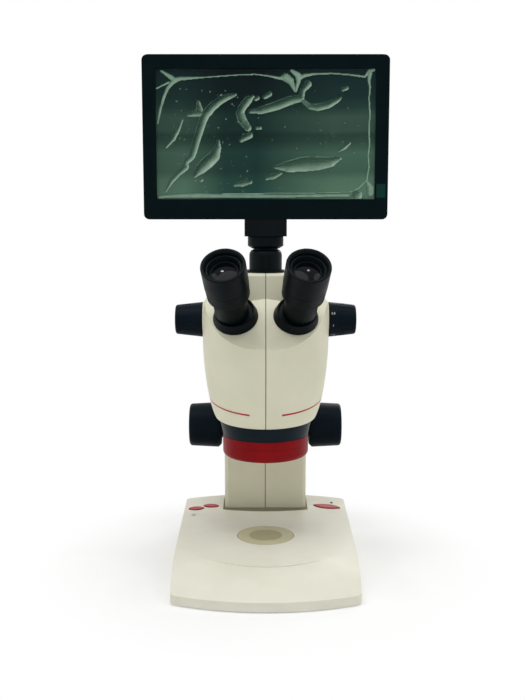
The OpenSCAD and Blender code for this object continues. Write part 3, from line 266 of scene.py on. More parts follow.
# Moulded: dark and light tone, range of roughness, cells of grain in a metre and the grain's height in metres
CREAM = moulded("cream_plastic", srgb(225, 223, 206), srgb(229, 227, 211), (0.42, 0.5), 2600, 1.2e-5,
                Specular_IOR_Level=0.3)
# Head shells and pillar covers: a slightly darker, yellower copy of the base's cream, as painted shade of
# their less lit faces
CREAM_HALVES_SHADED = seamed("cream_halves", srgb(220, 218, 193), srgb(224, 222, 198), (0.42, 0.5), 2600, 1.2e-5,
                      Specular_IOR_Level=0.3)
# Pillar skirt: the same cream moulding, painted dark olive as the shade in the notch at the pillar's foot
SHADED_SKIRT = moulded("cream_skirt", srgb(116, 114, 90), srgb(122, 120, 96), (0.5, 0.6), 2600, 1.2e-5,
                Specular_IOR_Level=0.2)
STAGE = moulded("stage_plate", srgb(192, 188, 153), srgb(196, 192, 158), (0.45, 0.55), 3000, 1e-5,
                Specular_IOR_Level=0.3)
LIGHT = moulded("light_plastic", srgb(216, 214, 195), srgb(221, 219, 201), (0.45, 0.55), 3000, 1e-5,
                Specular_IOR_Level=0.3)
BLACK = moulded("black_plastic", srgb(3, 11, 14), srgb(6, 15, 18), (0.36, 0.48), 3200, 1.5e-5,
                Specular_IOR_Level=0.08)
BEZEL = moulded("bezel_plastic", srgb(1, 14, 17), srgb(3, 18, 21), (0.3, 0.38), 2400, 0.8e-5,
                Specular_IOR_Level=0.04)
KNOB = moulded("knob_plastic", srgb(2, 13, 22), srgb(5, 18, 28), (0.38, 0.5), 2600, 1.8e-5,
               Specular_IOR_Level=0.06)
COLLAR = moulded("black_metal", srgb(4, 21, 29), srgb(8, 26, 35), (0.32, 0.42), 4000, 0.6e-5,
                 Specular_IOR_Level=0.1)
RED_METAL = moulded("red_metal", srgb(126, 4, 12), srgb(136, 6, 15), (0.34, 0.44), 2200, 1.2e-5,
                    Specular_IOR_Level=0.1)
RED = moulded("red_plastic", srgb(160, 22, 38), srgb(172, 28, 45), (0.36, 0.44), 2600, 1e-5,
              Specular_IOR_Level=0.25)
PRINT_RED = moulded("print_red", srgb(172, 24, 44), srgb(182, 30, 50), (0.4, 0.5), 5000, 0.4e-5,
                    Specular_IOR_Level=0.2)
PRINT_WHITE = moulded("print_white", srgb(200, 206, 202), srgb(214, 220, 216), (0.5, 0.6), 5000, 0.4e-5)
PRINT_GREY = moulded("print_grey", srgb(70, 74, 66), srgb(84, 88, 80), (0.5, 0.6), 5000, 0.4e-5)
RUBBER = moulded("rubber", srgb(24, 26, 27), srgb(31, 33, 34), (0.7, 0.85), 1800, 3e-5)
BOARD = moulded("circuit_board", srgb(20, 78, 44), srgb(28, 92, 54), (0.35, 0.5), 900, 1e-5)
TAB = moulded("pull_tab", srgb(0, 38, 33), srgb(3, 50, 43), (0.3, 0.4), 2000, 0.6e-5,
              Specular_IOR_Level=0.1)
INDICATOR = moulded("indicator", srgb(16, 40, 20), srgb(22, 48, 26), (0.15, 0.25), 900, 0.4e-5)

# Machined: dark and light tone, range of roughness, and the stretch of the marks
ALLOY = machined("alloy", srgb(176, 178, 180), srgb(196, 198, 200), (0.4, 0.55), (1, 1, 1))
STEEL = machined("steel", srgb(178, 180, 184), srgb(206, 208, 212), (0.18, 0.32), (1, 1, 0.05))
BRASS = machined("brass", srgb(188, 150, 80), srgb(212, 174, 100), (0.22, 0.36), (0.05, 1, 1))

# Glass: tint, roughness, transmission, what dust adds to the roughness, and gloss
LENS = glass_material("lens_glass", srgb(4, 7, 9), 0.03, 0.0, 0.03, 0.1)
GLASS = glass_material("glass", srgb(222, 236, 234), 0.02, 1.0, 0.04)
STAGE_GLASS = glass_material("stage_glass", srgb(166, 160, 126), 0.35, 0.0, 0.06, 0.2)
DISPLAY = display_material()
FILM = film_material()

# Material, width of the softened edges in mm, and the nodes that get both
FINISH = [
    (CREAM, 0.5, "base_cover"),
    (CREAM_HALVES_SHADED, 0.8, "pillar_cover_left pillar_cover_right"),
    (CREAM_HALVES_SHADED, 2.2, "head_shell_left head_shell_right"),
    (SHADED_SKIRT, 0.4, "pillar_skirt"),
    (STAGE, 0.4, "stage_ring"),
    (STAGE_GLASS, 0.3, "stage_glass"),
    (RED, 0.5, "lamp_button_front lamp_button_rear lamp_rocker"),
    (INDICATOR, 0.2, "power_indicator"),
    (RED_METAL, 0.3, "head_ring lamp_cover"),
    (COLLAR, 0.5, "head_collar"),
    (KNOB, 0.6, "focus_knob_left focus_knob_right zoom_knob_left zoom_knob_right zoom_scale_ring"),
    (BLACK, 0.4, "eye_tube_left eye_tube_right dioptre_ring_left dioptre_ring_right"),
    (BLACK, 0.5, "eyecup_left eyecup_right"),
    (BLACK, 0.4, "photo_flange photo_tube c_mount_ring camera_block power_inlet"),
    (BEZEL, 0.8, "screen_bezel screen_rear_cover"),
    (RUBBER, 0.3, "rubber_feet"),
    (LENS, 0.0, "eye_lens_left eye_lens_right"),
    (GLASS, 0.0, "objective_lenses prisms zoom_lens_left zoom_lens_right"),
    (DISPLAY, 0.0, "screen_panel"),
    (FILM, 0.0, "screen_film"),
    (BOARD, 0.0, "stage_led_board button_boards"),
    (LIGHT, 0.0, "stage_lamp_housing"),
    (ALLOY, 0.2, "base_plate pillar_core focus_carriage optics_chassis zoom_barrels"),
    (STEEL, 0.1, "base_screws guide_rods focus_shaft focus_rack arm_screws clamp_screw zoom_shaft"),
    (BRASS, 0.1, "focus_bushes focus_pinion zoom_cam_drum"),
]
SMOOTH_ANGLE = math.radians(32)
FLAT_ANGLE = math.radians(0.5)
SEAM_HALF = 0.25 * MM
WELD_REACH = 0.01 * MM
BEVEL_SEGMENTS = 3


def geometry_group(name):
    """An empty geometry-node group with its two ends."""
    group = bpy.data.node_groups.new(name, "GeometryNodeTree")
    for side in ("INPUT", "OUTPUT"):
        group.interface.new_socket("Geometry", in_out=side, socket_type="NodeSocketGeometry")
    return group, group.nodes.new("NodeGroupInput"), group.nodes.new("NodeGroupOutput")


def greater(group, source, limit):
    """True where a value is above a limit."""
    made = group.nodes.new("FunctionNodeCompare")
    made.data_type = "FLOAT"
    made.operation = "GREATER_THAN"
    made.inputs["B"].default_value = limit
    group.links.new(source, made.inputs["A"])
    return made.outputs["Result"]


def both(group, a, b):
    """True where both are true."""
    made = group.nodes.new("FunctionNodeBooleanMath")
    group.links.new(a, made.inputs[0])
    group.links.new(b, made.inputs[1])
    return made.outputs[0]


def bevel_choice_group():
    """Weights the sharp outer edges for the bevel, but not those of the seam at x = 0."""
    group, start, end = geometry_group("bevel_choice")
    angle = group.nodes.new("GeometryNodeInputMeshEdgeAngle")
    sharp = greater(group, angle.outputs["Signed Angle"], SMOOTH_ANGLE)
    split = group.nodes.new("ShaderNodeSeparateXYZ")
    group.links.new(group.nodes.new("GeometryNodeInputPosition").outputs[0], split.inputs[0])
    side = group.nodes.new("ShaderNodeMath")
    side.operation = "ABSOLUTE"
    group.links.new(split.outputs["X"], side.inputs[0])
    chosen = both(group, sharp, greater(group, side.outputs[0], SEAM_HALF))
    store = group.nodes.new("GeometryNodeStoreNamedAttribute")
    store.data_type = "FLOAT"
    store.domain = "EDGE"
    store.inputs["Name"].default_value = "bevel_weight_edge"
    group.links.new(start.outputs[0], store.inputs["Geometry"])
    group.links.new(chosen, store.inputs["Value"])
    group.links.new(store.outputs[0], end.inputs[0])
    return group


def smooth_group():
    """Smooth shading that keeps the edges sharp above the smoothing angle."""
    group, start, end = geometry_group("smooth_by_angle")
    faces = group.nodes.new("GeometryNodeSetShadeSmooth")
    edges = group.nodes.new("GeometryNodeSetShadeSmooth")
    edges.domain = "EDGE"
    edges.inputs["Shade Smooth"].default_value = False
    angle = group.nodes.new("GeometryNodeInputMeshEdgeAngle")
    sharp = greater(group, angle.outputs["Unsigned Angle"], SMOOTH_ANGLE)
    group.links.new(start.outputs[0], faces.inputs["Geometry"])
    group.links.new(faces.outputs[0], edges.inputs["Geometry"])
    group.links.new(sharp, edges.inputs["Selection"])
    group.links.new(edges.outputs[0], end.inputs[0])
    return group


BEVEL_CHOICE = bevel_choice_group()
SMOOTH = smooth_group()


def add_group(obj, group):
    """A geometry-node modifier with this group."""
    obj.modifiers.new(group.name, "NODES").node_group = group


def soften(obj, width):
    """Welds the CAD mesh, rounds its edges by width in mm and smooths its shading."""
    weld = obj.modifiers.new("weld", "WELD")
    weld.merge_threshold = WELD_REACH
    if width:
        flat = obj.modifiers.new("flat", "DECIMATE")
        flat.decimate_type = "DISSOLVE"
        flat.angle_limit = FLAT_ANGLE
        add_group(obj, BEVEL_CHOICE)
        bevel = obj.modifiers.new("bevel", "BEVEL")
        bevel.limit_method = "WEIGHT"
        bevel.width = width * MM
        bevel.segments = BEVEL_SEGMENTS
        bevel.miter_outer = "MITER_ARC"
    add_group(obj, SMOOTH)
    normals = obj.modifiers.new("normals", "WEIGHTED_NORMAL")
    normals.keep_sharp = True


def dress_nodes():
    """Gives every CAD node its material and its softened edges."""
    for material, width, names in FINISH:
        for name in names.split():
            obj = NODES[name]
            obj.data.materials.clear()
            obj.data.materials.append(material)
            soften(obj, width)


def mesh_piece(name, verts, faces, material, body):
    """A new mesh piece that rides on a body and takes a finish slot."""
    data = bpy.data.meshes.new(name)
    data.from_pydata(verts, [], faces)
    data.update()
    data.materials.append(material)
    obj = bpy.data.objects.new(name, data)
    bpy.context.scene.collection.objects.link(obj)
    data.shade_smooth()
    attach(obj, body)
    return obj


def grid_faces(columns, rows):
    """Quads of a grid of points, column by column."""
    return [(i * rows + j, (i + 1) * rows + j, (i + 1) * rows + j + 1, i * rows + j + 1)
            for i in range(columns - 1) for j in range(rows - 1)]


def shell_tree(names):
    """Ray-cast tree over the CAD meshes of some nodes."""
    verts, faces = [], []
    for name in names:
        mesh = NODES[name].data
        base = len(verts)
        verts += [v.co.copy() for v in mesh.vertices]
        faces += [[base + i for i in p.vertices] for p in mesh.polygons]
    return BVHTree.FromPolygons(verts, faces)


# Stripes: height at the front and rise, ends in degrees from the front, and half widths at the ends
STRIPE_Z, STRIPE_RISE = 167.4 * MM, 11 * MM
STRIPE_FROM, STRIPE_TO = 16.6, 88.0
STRIPE_HALF, STRIPE_TIP = 0.9 * MM, 0.5 * MM
STRIPE_PROUD = 0.12 * MM
STRIPE_STEPS, STRIPE_ROWS = 48, (-1, 0, 1)
RAY_FROM = 0.12


def head_stripes():
    """Two printed lines low on the front of the head, which rise and get thinner towards the sides."""
    tree = shell_tree(["head_shell_left", "head_shell_right"])
    for name, side in (("head_stripe_left", -1), ("head_stripe_right", 1)):
        verts = []
        for i in range(STRIPE_STEPS + 1):
            share = i / STRIPE_STEPS
            angle = math.radians(STRIPE_FROM + (STRIPE_TO - STRIPE_FROM) * share)
            half = STRIPE_HALF + (STRIPE_TIP - STRIPE_HALF) * share
            middle = STRIPE_Z + STRIPE_RISE * (1 - math.cos(angle))
            out = Vector((side * math.sin(angle), -math.cos(angle), 0))
            for level in STRIPE_ROWS:
                start = Vector((0, OPTICAL_Y, middle + level * half)) + out * RAY_FROM
                verts.append(tree.ray_cast(start, -out)[0] + out * STRIPE_PROUD)
        faces = grid_faces(STRIPE_STEPS + 1, len(STRIPE_ROWS))
        if side < 0:
            faces = [face[::-1] for face in faces]
        mesh_piece(name, verts, faces, PRINT_RED, "head")


def text_mesh(text, size):
    """Flat mesh of a few characters, centred on the origin, in metres."""
    curve = bpy.data.curves.new("text", "FONT")
    curve.body = text
    curve.size = size
    curve.align_x = "CENTER"
    curve.align_y = "CENTER"
    curve.resolution_u = 4
    obj = bpy.data.objects.new("text", curve)
    bpy.context.scene.collection.objects.link(obj)
    depsgraph = bpy.context.evaluated_depsgraph_get()
    mesh = bpy.data.meshes.new_from_object(obj.evaluated_get(depsgraph))
    bpy.data.objects.remove(obj)
    return mesh


# Zoom scale: its numbers, their turn in degrees, height, place along the ring, and how proud they stand
SCALE_MARKS = ["0.8", "1", "1.5", "2", "3", "4", "5"]
SCALE_STEP = 40.0
SCALE_FIRST = 25.0
SCALE_TEXT = 3.2 * MM
SCALE_PLACE = 0.42
SCALE_PROUD = 0.06 * MM


def zoom_numbers():
    """Plain numbers wrapped round the scale ring of the right zoom knob."""
    low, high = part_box("zoom_scale_ring")
    radius = (high.z - low.z) / 2 + SCALE_PROUD
    middle = low.x + (high.x - low.x) * SCALE_PLACE
    verts, faces = [], []
    for i, text in enumerate(SCALE_MARKS):
        mesh = text_mesh(text, SCALE_TEXT)
        angle = math.radians(SCALE_FIRST - SCALE_STEP * i)
        base = len(verts)
        for v in mesh.vertices:
            turn = angle + v.co.y / radius
            spot = Vector((middle + v.co.x, -radius * math.cos(turn), radius * math.sin(turn)))
            verts.append(ZOOM_AXIS + spot)
        faces += [[base + k for k in p.vertices] for p in mesh.polygons]
    mesh_piece("zoom_numbers", verts, faces, PRINT_WHITE, "zoom_drive")


# Film on the display: each stroke of raised film goes through points of (across, down, half width),
# across and half width in percent of the window's width, down in percent of its height
RIDGES = [
    [(35.9, 19.7, 0.7), (32.9, 21.2, 1.1), (29.1, 24.3, 1.4), (25.7, 28.8, 1.6), (22.7, 34.4, 1.6),
     (21.2, 40.1, 1.5), (19.7, 47.7, 1.4), (18.2, 55.2, 1.4), (17.0, 62.8, 1.3), (15.9, 67.2, 1.3),
     (13.2, 71.6, 1.1), (13.2, 75.4, 1.2), (10.2, 79.8, 1.0), (6.8, 85.5, 0.9), (3.8, 94.3, 0.4)],
    [(14.7, 35.3, 0.6), (18.5, 33.8, 1.2), (21.9, 33.8, 1.0)],
    [(19.3, 25.6, 0.7), (19.7, 30.0, 1.2), (20.4, 33.2, 1.0)],
    [(11.9, 38.8, 0.4), (9.8, 46.4, 0.9), (7.6, 53.3, 0.9), (4.4, 59.6, 0.5)],
    [(28.5, 55.2, 0.5), (28.0, 60.3, 1.3), (26.5, 66.6, 2.1), (23.1, 71.6, 2.4), (20.0, 76.7, 2.0),
     (17.4, 82.3, 0.6)],
    [(43.9, 21.2, 0.7), (42.0, 23.7, 1.5), (39.3, 29.4, 1.5), (38.2, 33.8, 1.5), (39.7, 40.1, 1.6),
     (42.0, 45.1, 1.2)],
    [(43.1, 32.5, 0.7), (48.0, 31.5, 1.4), (54.8, 28.1, 1.7), (61.6, 23.7, 1.6), (66.2, 22.4, 1.2)],
    [(66.2, 22.4, 1.0), (66.9, 16.1, 1.0), (69.2, 11.7, 1.4)],
    [(66.9, 24.3, 0.8), (70.0, 28.8, 1.0), (73.7, 29.4, 1.3), (78.3, 27.5, 1.3), (82.1, 24.3, 1.0),
     (84.2, 22.2, 0.4)],
    [(54.1, 75.4, 0.5), (60.1, 74.8, 2.1), (66.9, 72.9, 2.8), (73.7, 72.3, 2.6), (79.8, 71.0, 2.0),
     (84.0, 68.5, 0.7)],
    [(66.2, 70.4, 1.2), (73.4, 67.2, 0.6)],
    [(83.2, 63.4, 0.3), (85.8, 60.0, 0.9), (88.6, 56.6, 0.4)],
    [(50.3, 83.9, 0.7), (53.3, 82.6, 1.1), (56.6, 80.2, 0.7)],
    [(35.8, 88.8, 0.7), (39.3, 88.0, 1.2), (43.0, 86.8, 0.7)],
    [(38.7, 54.1, 1.0), (42.7, 50.7, 1.2)],
    [(45.5, 22.8, 0.8), (46.3, 22.2, 0.8)],
    [(49.5, 21.4, 0.8), (51.8, 19.3, 0.9)],
    [(45.9, 44.9, 0.7), (47.4, 44.9, 0.7)],
    [(85.2, 15.8, 0.7), (86.7, 14.7, 0.8)],
    [(20.1, 85.2, 0.7), (20.4, 85.2, 0.7)],
    [(91.8, 97.0, 2.0), (92.2, 97.0, 2.0)],
]
FOLDS = [
    [(2.6, 1.6, 0.5), (8.7, 8.6, 1.3)],
    [(8.7, 8.6, 1.4), (11.0, 7.6, 0.9), (20.8, 6.7, 0.35), (35.9, 4.8, 0.3), (45.0, 4.2, 0.3),
     (51.1, 5.4, 0.4), (56.4, 7.3, 0.7)],
    [(8.0, 9.5, 1.2), (5.3, 14.9, 0.8), (3.4, 22.4, 0.7), (1.9, 31.3, 0.6), (0.6, 41.4, 0.4)],
    [(0.3, 14.9, 0.4), (5.7, 10.5, 0.5)],
    [(56.4, 7.3, 0.6), (59.0, 6.5, 1.9), (61.2, 9.0, 1.7), (63.3, 17.2, 0.4)],
    [(61.8, 1.5, 0.9), (64.6, 5.0, 1.4), (64.8, 9.0, 1.2), (63.7, 17.2, 0.4)],
    [(64.8, 7.0, 1.3), (67.5, 5.2, 0.9), (72.0, 4.0, 0.5), (80.0, 3.5, 0.4), (88.0, 4.5, 0.4),
     (95.0, 6.1, 0.5)],
    [(94.9, 6.1, 0.5), (97.0, 1.5, 0.9), (99.0, 0.8, 0.8)],
    [(97.2, 3.5, 1.2), (96.8, 9.0, 0.7), (97.4, 14.0, 0.45), (97.0, 22.0, 0.4), (97.5, 34.0, 0.45),
     (97.2, 46.0, 0.4), (97.5, 58.0, 0.45), (97.0, 66.0, 0.4), (97.4, 75.0, 0.45), (96.4, 85.5, 0.5)],
    [(96.6, 86.0, 0.5), (98.2, 91.0, 1.6), (98.2, 95.0, 1.6)],
    [(96.4, 85.5, 0.4), (92.5, 92.0, 0.5), (89.3, 94.5, 0.3), (70.0, 95.4, 0.25), (30.0, 96.0, 0.3)],
    [(0.8, 98.6, 0.6), (12.0, 97.4, 1.0), (20.0, 97.4, 1.2), (32.0, 97.8, 0.9), (60.0, 97.8, 0.8),
     (88.0, 97.0, 0.7)],
]
FILM_STEP = 0.6 * MM
FILM_LIFT, LIFT_SHARE, LIFT_POWER = 0.75 * MM, 0.16, 0.7
# Direction across the window from which the painted highlight falls on the film's flanks
FILM_LIGHT = Vector((0.75, 0.66))
FILM_RIM, RIDGE_WIDEN = 0.8, 1.25

# Veil and painted light of raised film, each a start and what is added: to a fold's veil with the distance
# from its middle, to the others with the flank that faces the light; the painted light is a highlight on that
# flank, shade on the other
FOLD_VEIL, FOLD_PAINTED_LIGHT = (0.85, -0.35), (0.62, 0.25)
RIM_VEIL, RIM_PAINTED_LIGHT = (0.55, 0.2), (0.66, 0.2)
RIDGE_VEIL, RIDGE_PAINTED_LIGHT = (0.55, 0.3), (0.42, 0.55)

# Air dots: one in three lies in the right range, and ranges across and down are shares of the window
DOT_SEED, DOTS, DOT_TURNS = 7, 110, 3
DOT_LEFT, DOT_RIGHT, DOT_DOWN = (0.04, 0.42), (0.45, 0.97), (0.15, 0.95)
DOT_RADII = (0.5, 1.0)


def film_dots(width, height):
    """Small air dots, thickest on the left half of the window."""
    pick = random.Random(DOT_SEED)
    for i in range(DOTS):
        across = pick.uniform(*(DOT_LEFT if i % DOT_TURNS else DOT_RIGHT)) * width
        down = pick.uniform(*DOT_DOWN) * height
        yield Vector((across, down)), pick.uniform(*DOT_RADII) * MM


def film_strokes(width, height):
    """Every stretch of a stroke and every dot: its ends, half widths at the ends, and if it is a fold."""
    for strokes, fold in ((RIDGES, False), (FOLDS, True)):
        for stroke in strokes:
            widen = width / 100 if fold else RIDGE_WIDEN * width / 100
            points = [(Vector((x * width, y * height)) / 100, half * widen) for x, y, half in stroke]
            for (a, half_a), (b, half_b) in zip(points, points[1:]):
                yield a, b, half_a, half_b, fold
    for spot, radius in film_dots(width, height):
        yield spot, spot, radius, radius, False


def film_look(offset, fold):
    """Veil and painted light of a film point, from its offset across a stroke in half widths: lighter on the
    flank that faces FILM_LIGHT, darker on the other.
    """
    flank = offset.dot(FILM_LIGHT)
    if fold:
        veil, shine, veil_by = FOLD_VEIL, FOLD_PAINTED_LIGHT, offset.length
    elif offset.length > FILM_RIM:
        veil, shine, veil_by = RIM_VEIL, RIM_PAINTED_LIGHT, flank
    else:
        veil, shine, veil_by = RIDGE_VEIL, RIDGE_PAINTED_LIGHT, flank
    return veil[0] + veil[1] * veil_by, shine[0] + shine[1] * flank


def film_points(width, height, columns, rows):
    """Lift in metres, veil and painted light of every film point, column by column."""
    points = [(0.0, 0.0, 0.0)] * (columns * rows)
    sx, sy = width / (columns - 1), height / (rows - 1)
    for a, b, half_a, half_b, fold in film_strokes(width, height):
        reach = max(half_a, half_b)
        line = b - a
        left, right = min(a.x, b.x) - reach, max(a.x, b.x) + reach
        top, bottom = min(a.y, b.y) - reach, max(a.y, b.y) + reach
        for i in range(max(0, int(left / sx)), min(columns, int(right / sx) + 2)):
            for j in range(max(0, int(top / sy)), min(rows, int(bottom / sy) + 2)):
                place = Vector((i * sx, j * sy))
                share = (place - a).dot(line) / line.length_squared if line.length else 0.0
                share = max(0.0, min(1.0, share))
                half = half_a + (half_b - half_a) * share
                offset = (place - a - line * share) / half
                lift = min(FILM_LIFT, LIFT_SHARE * half) * max(0.0, 1 - offset.length_squared) ** LIFT_POWER
                if lift > points[i * rows + j][0]:
                    points[i * rows + j] = (lift, *film_look(offset, fold))
    return points


def screen_film():
    """The film left on the display, with its air bubbles and folds."""
    low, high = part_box("screen_film")
    width, height = high.x - low.x, high.z - low.z
    columns, rows = int(width / FILM_STEP), int(height / FILM_STEP)
    points = film_points(width, height, columns, rows)
    verts = [(low.x + width * i / (columns - 1), low.y - points[i * rows + j][0],
              high.z - height * j / (rows - 1))
             for i in range(columns) for j in range(rows)]
    faces = [face[::-1] for face in grid_faces(columns, rows)]
    film = mesh_piece("display_film", verts, faces, FILM, "camera")
    # The painted highlight and shade go to the film's colour as a point attribute
    for name, index in (("veil", 1), ("shine", 2)):
        field = film.data.attributes.new(name, "FLOAT", "POINT")
        field.data.foreach_set("value", [max(0.0, min(1.0, point[index])) for point in points])
    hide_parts("screen_film")


TAB_SIZE = Vector((9.0, 0.2, 13.5)) * MM
TAB_CORNER = Vector((111.0, 0, 378.8)) * MM


def film_tab():
    """Pull tab of the film, stuck on the bezel at the lower right of the window."""
    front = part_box("screen_bezel")[0].y
    verts = [(TAB_CORNER.x + x * TAB_SIZE.x, front - y * TAB_SIZE.y, TAB_CORNER.z + z * TAB_SIZE.z)
             for x in (0, 1) for y in (0, 1) for z in (0, 1)]
    faces = [(2, 3, 1, 0), (5, 7, 6, 4), (1, 5, 4, 0), (6, 7, 3, 2), (4, 6, 2, 0), (3, 7, 5, 1)]
    tab = mesh_piece("film_tab", verts, faces, TAB, "camera")
    tab.data.shade_flat()


# Lamp sign: radii of its ring and rays, half widths of a ray's foot and tip in radians, and stretch in depth
ICON_AT = Vector((-80.4, 60, 0)) * MM
ICON_RING, ICON_RAY = (1.0 * MM, 1.6 * MM), (2.1 * MM, 3.0 * MM)
RAY_FOOT, RAY_TIP = 0.12, 0.1
ICON_TALL, ICON_RAYS, ICON_SIDES = 1.8, 8, 24
PRINT_PROUD = 0.04 * MM


def lamp_icon():
    """Small plain lamp sign printed beside the front button: a ring with rays."""
    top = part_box("base_cover")[1].z
    tree = shell_tree(["base_cover"])
    spot = tree.ray_cast(ICON_AT + Vector((0, 0, 2 * top)), DOWN)[0]

    def polar(radius, angle):
        return spot + Vector((radius * math.cos(angle), ICON_TALL * radius * math.sin(angle), PRINT_PROUD))

    verts, faces = [], []
    for i in range(ICON_SIDES):
        verts += [polar(radius, math.tau * i / ICON_SIDES) for radius in ICON_RING]
        after = (i + 1) % ICON_SIDES
        faces.append((2 * i, 2 * i + 1, 2 * after + 1, 2 * after))
    for i in range(ICON_RAYS):
        base = len(verts)
        angle = math.tau * i / ICON_RAYS
        foot, tip = ICON_RAY
        verts += [polar(radius, angle + turn) for radius, turn in (
            (foot, -RAY_FOOT), (tip, -RAY_TIP), (tip, RAY_TIP), (foot, RAY_FOOT))]
        faces.append((base, base + 1, base + 2, base + 3))
    mesh_piece("lamp_icon", verts, faces, PRINT_GREY, "stand")


def tube_faces(steps, sides):
    """Faces of a closed tube of rings, with both ends."""
    faces = []
    for base in range(0, steps * sides, sides):
        for k in range(sides):
            after = (k + 1) % sides
            faces.append((base + k, base + sides + k, base + sides + after, base + after))
    last = steps * sides
    return faces + [tuple(range(sides)), tuple(range(last + sides - 1, last - 1, -1))]


# Tower: axis of the photo port, radius of the solids and distance to their flat front; the same of the front
# before them, its half turn in degrees and rounding; the solids' chamfer, how deep the front sits in the
# deck, how proud its ends are, and where the deck's height is looked up
TOWER_AXIS = Vector((0, 14.5, 0)) * MM
TOWER_R, TOWER_FLAT = 40 * MM, 34.5 * MM
FRONT_R, FRONT_FLAT = 45 * MM, 41.9 * MM
FRONT_HALF_TURN, FRONT_STEPS = 70, 56
FRONT_ROUND, ROUND_STEPS = 2.0 * MM, 4
TOWER_CHAMFER, FRONT_SUNK, FRONT_END = 3.9 * MM, 0.4 * MM, 0.1 * MM
DECK_AHEAD, DECK_ASIDE = 0.2 * MM, Vector((0.4, 0, 0)) * MM


def tower_reach(angle):
    """Distances from the photo port's axis to the tower of the solids and to the front before it."""
    old = min(TOWER_R, TOWER_FLAT / math.cos(angle))
    corner = math.acos(FRONT_FLAT / FRONT_R)
    end = math.radians(FRONT_HALF_TURN)
    share = max(0.0, min(1.0, (abs(angle) - corner) / (end - corner)))
    taper = (FRONT_R - TOWER_R - FRONT_END) * share * share * (3 - 2 * share)
    return old, min(FRONT_FLAT / math.cos(angle), FRONT_R - taper)


def tower_front():
    """Front of the tower, brought forward to where it stands on the deck in the photo.

    The deck's height is looked up a little aside, off the open joint between the two shells.
    """
    tree = shell_tree(["head_shell_left", "head_shell_right"])
    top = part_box("head_shell_left")[1].z
    verts = []
    for i in range(FRONT_STEPS + 1):
        angle = math.radians(FRONT_HALF_TURN * (2 * i / FRONT_STEPS - 1))
        out = Vector((math.sin(angle), -math.cos(angle), 0))
        old, new = tower_reach(angle)
        deck = []
        for reach in (new, old + DECK_AHEAD):
            spot = TOWER_AXIS + out * reach + DECK_ASIDE
            deck.append(tree.ray_cast(spot + Vector((0, 0, 2 * top)), DOWN)[0].z - FRONT_SUNK)
        ring = [(new, deck[0])]
        for k in range(ROUND_STEPS + 1):
            turn = math.radians(90 * k / ROUND_STEPS)
            ring.append((new - FRONT_ROUND * (1 - math.cos(turn)), top - FRONT_ROUND * (1 - math.sin(turn))))
        ring += [(old - TOWER_CHAMFER, top), (old, top - TOWER_CHAMFER), (old, deck[1])]
        verts += [TOWER_AXIS + out * reach + Vector((0, 0, z)) for reach, z in ring]
    faces = tube_faces(FRONT_STEPS, len(ring))
    front = mesh_piece("tower_front", verts, faces, CREAM_HALVES_SHADED, "head")
    add_group(front, SMOOTH)


DOME_R, DOME_RISE = 1.6 * MM, 1.4 * MM
DOME_RINGS, DOME_SIDES = 6, 20


def indicator_dome():
    """Round top of the indicator lamp."""
    low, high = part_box("power_indicator")
    foot = Vector(((low.x + high.x) / 2, (low.y + high.y) / 2, high.z))
    verts, faces = [], []
    for i in range(DOME_RINGS):
        rise = math.radians(90 * i / DOME_RINGS)
        for k in range(DOME_SIDES):
            turn = math.tau * k / DOME_SIDES
            reach = DOME_R * math.cos(rise)
            spot = Vector((reach * math.cos(turn), reach * math.sin(turn), DOME_RISE * math.sin(rise)))
            verts.append(foot + spot)
    verts.append(foot + Vector((0, 0, DOME_RISE)))
    tip = len(verts) - 1
    for i in range(DOME_RINGS - 1):
        for k in range(DOME_SIDES):
            a, b = i * DOME_SIDES + k, i * DOME_SIDES + (k + 1) % DOME_SIDES
            faces.append((a, b, b + DOME_SIDES, a + DOME_SIDES))
    last = tip - DOME_SIDES
    faces += [(last + k, last + (k + 1) % DOME_SIDES, tip) for k in range(DOME_SIDES)]
    faces.append(tuple(range(DOME_SIDES))[::-1])
    mesh_piece("indicator_dome", verts, faces, INDICATOR, "stand")


# Lip: axis, radius and half turn in degrees of its arc, the bead's radius in the middle and at the ends, and
# how far its axis lies under the base's top
LIP_AXIS = Vector((0, -8, 0)) * MM
LIP_R, LIP_BEAD, LIP_TIP, LIP_DROP = 89.4 * MM, 0.8 * MM, 0.4 * MM, 0.5 * MM
LIP_HALF_TURN, LIP_STEPS, LIP_SIDES = 37.0, 72, 10


def stage_lip():
    """Rounded edge of the stage area's front, a thin bead that fades out at both ends."""
    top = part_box("base_cover")[1].z - LIP_DROP
    verts = []
    for i in range(LIP_STEPS + 1):
        share = 2 * i / LIP_STEPS - 1
        angle = math.radians(LIP_HALF_TURN * share)
        out = Vector((math.sin(angle), -math.cos(angle), 0))
        bead = LIP_TIP + (LIP_BEAD - LIP_TIP) * (1 - share * share)
        for k in range(LIP_SIDES):
            turn = math.tau * k / LIP_SIDES
            side = out * (LIP_R + bead * math.cos(turn))
            verts.append(LIP_AXIS + side + Vector((0, 0, top + bead * math.sin(turn))))
    mesh_piece("stage_lip", verts, tube_faces(LIP_STEPS, LIP_SIDES), CREAM, "stand")


def make_camera():
    """The photo's camera."""
    data = bpy.data.cameras.new("camera")
    data.sensor_width = SENSOR
    data.lens = FOCAL_PX * SENSOR / IMAGE_H
    data.clip_end = CAMERA_REACH
    camera = bpy.data.objects.new("camera", data)
    camera.location = CAMERA_AT
    camera.rotation_euler = (math.radians(90 - CAMERA_PITCH), 0, 0)
    bpy.context.scene.collection.objects.link(camera)
    bpy.context.scene.camera = camera


WORLD_LIGHT = 0.50


def seen_rays(tree):
    """1 for a ray of the camera, also after glass or a glossy surface; 0 for light that falls on things."""
    path = tree.nodes.new("ShaderNodeLightPath")
    seen = path.outputs["Is Camera Ray"]
    for kind in ("Is Glossy Ray", "Is Transmission Ray"):
        pick = tree.nodes.new("ShaderNodeMath")
        pick.operation = "MAXIMUM"
        tree.links.new(seen, pick.inputs[0])
        tree.links.new(path.outputs[kind], pick.inputs[1])
        seen = pick.outputs[0]
    return seen


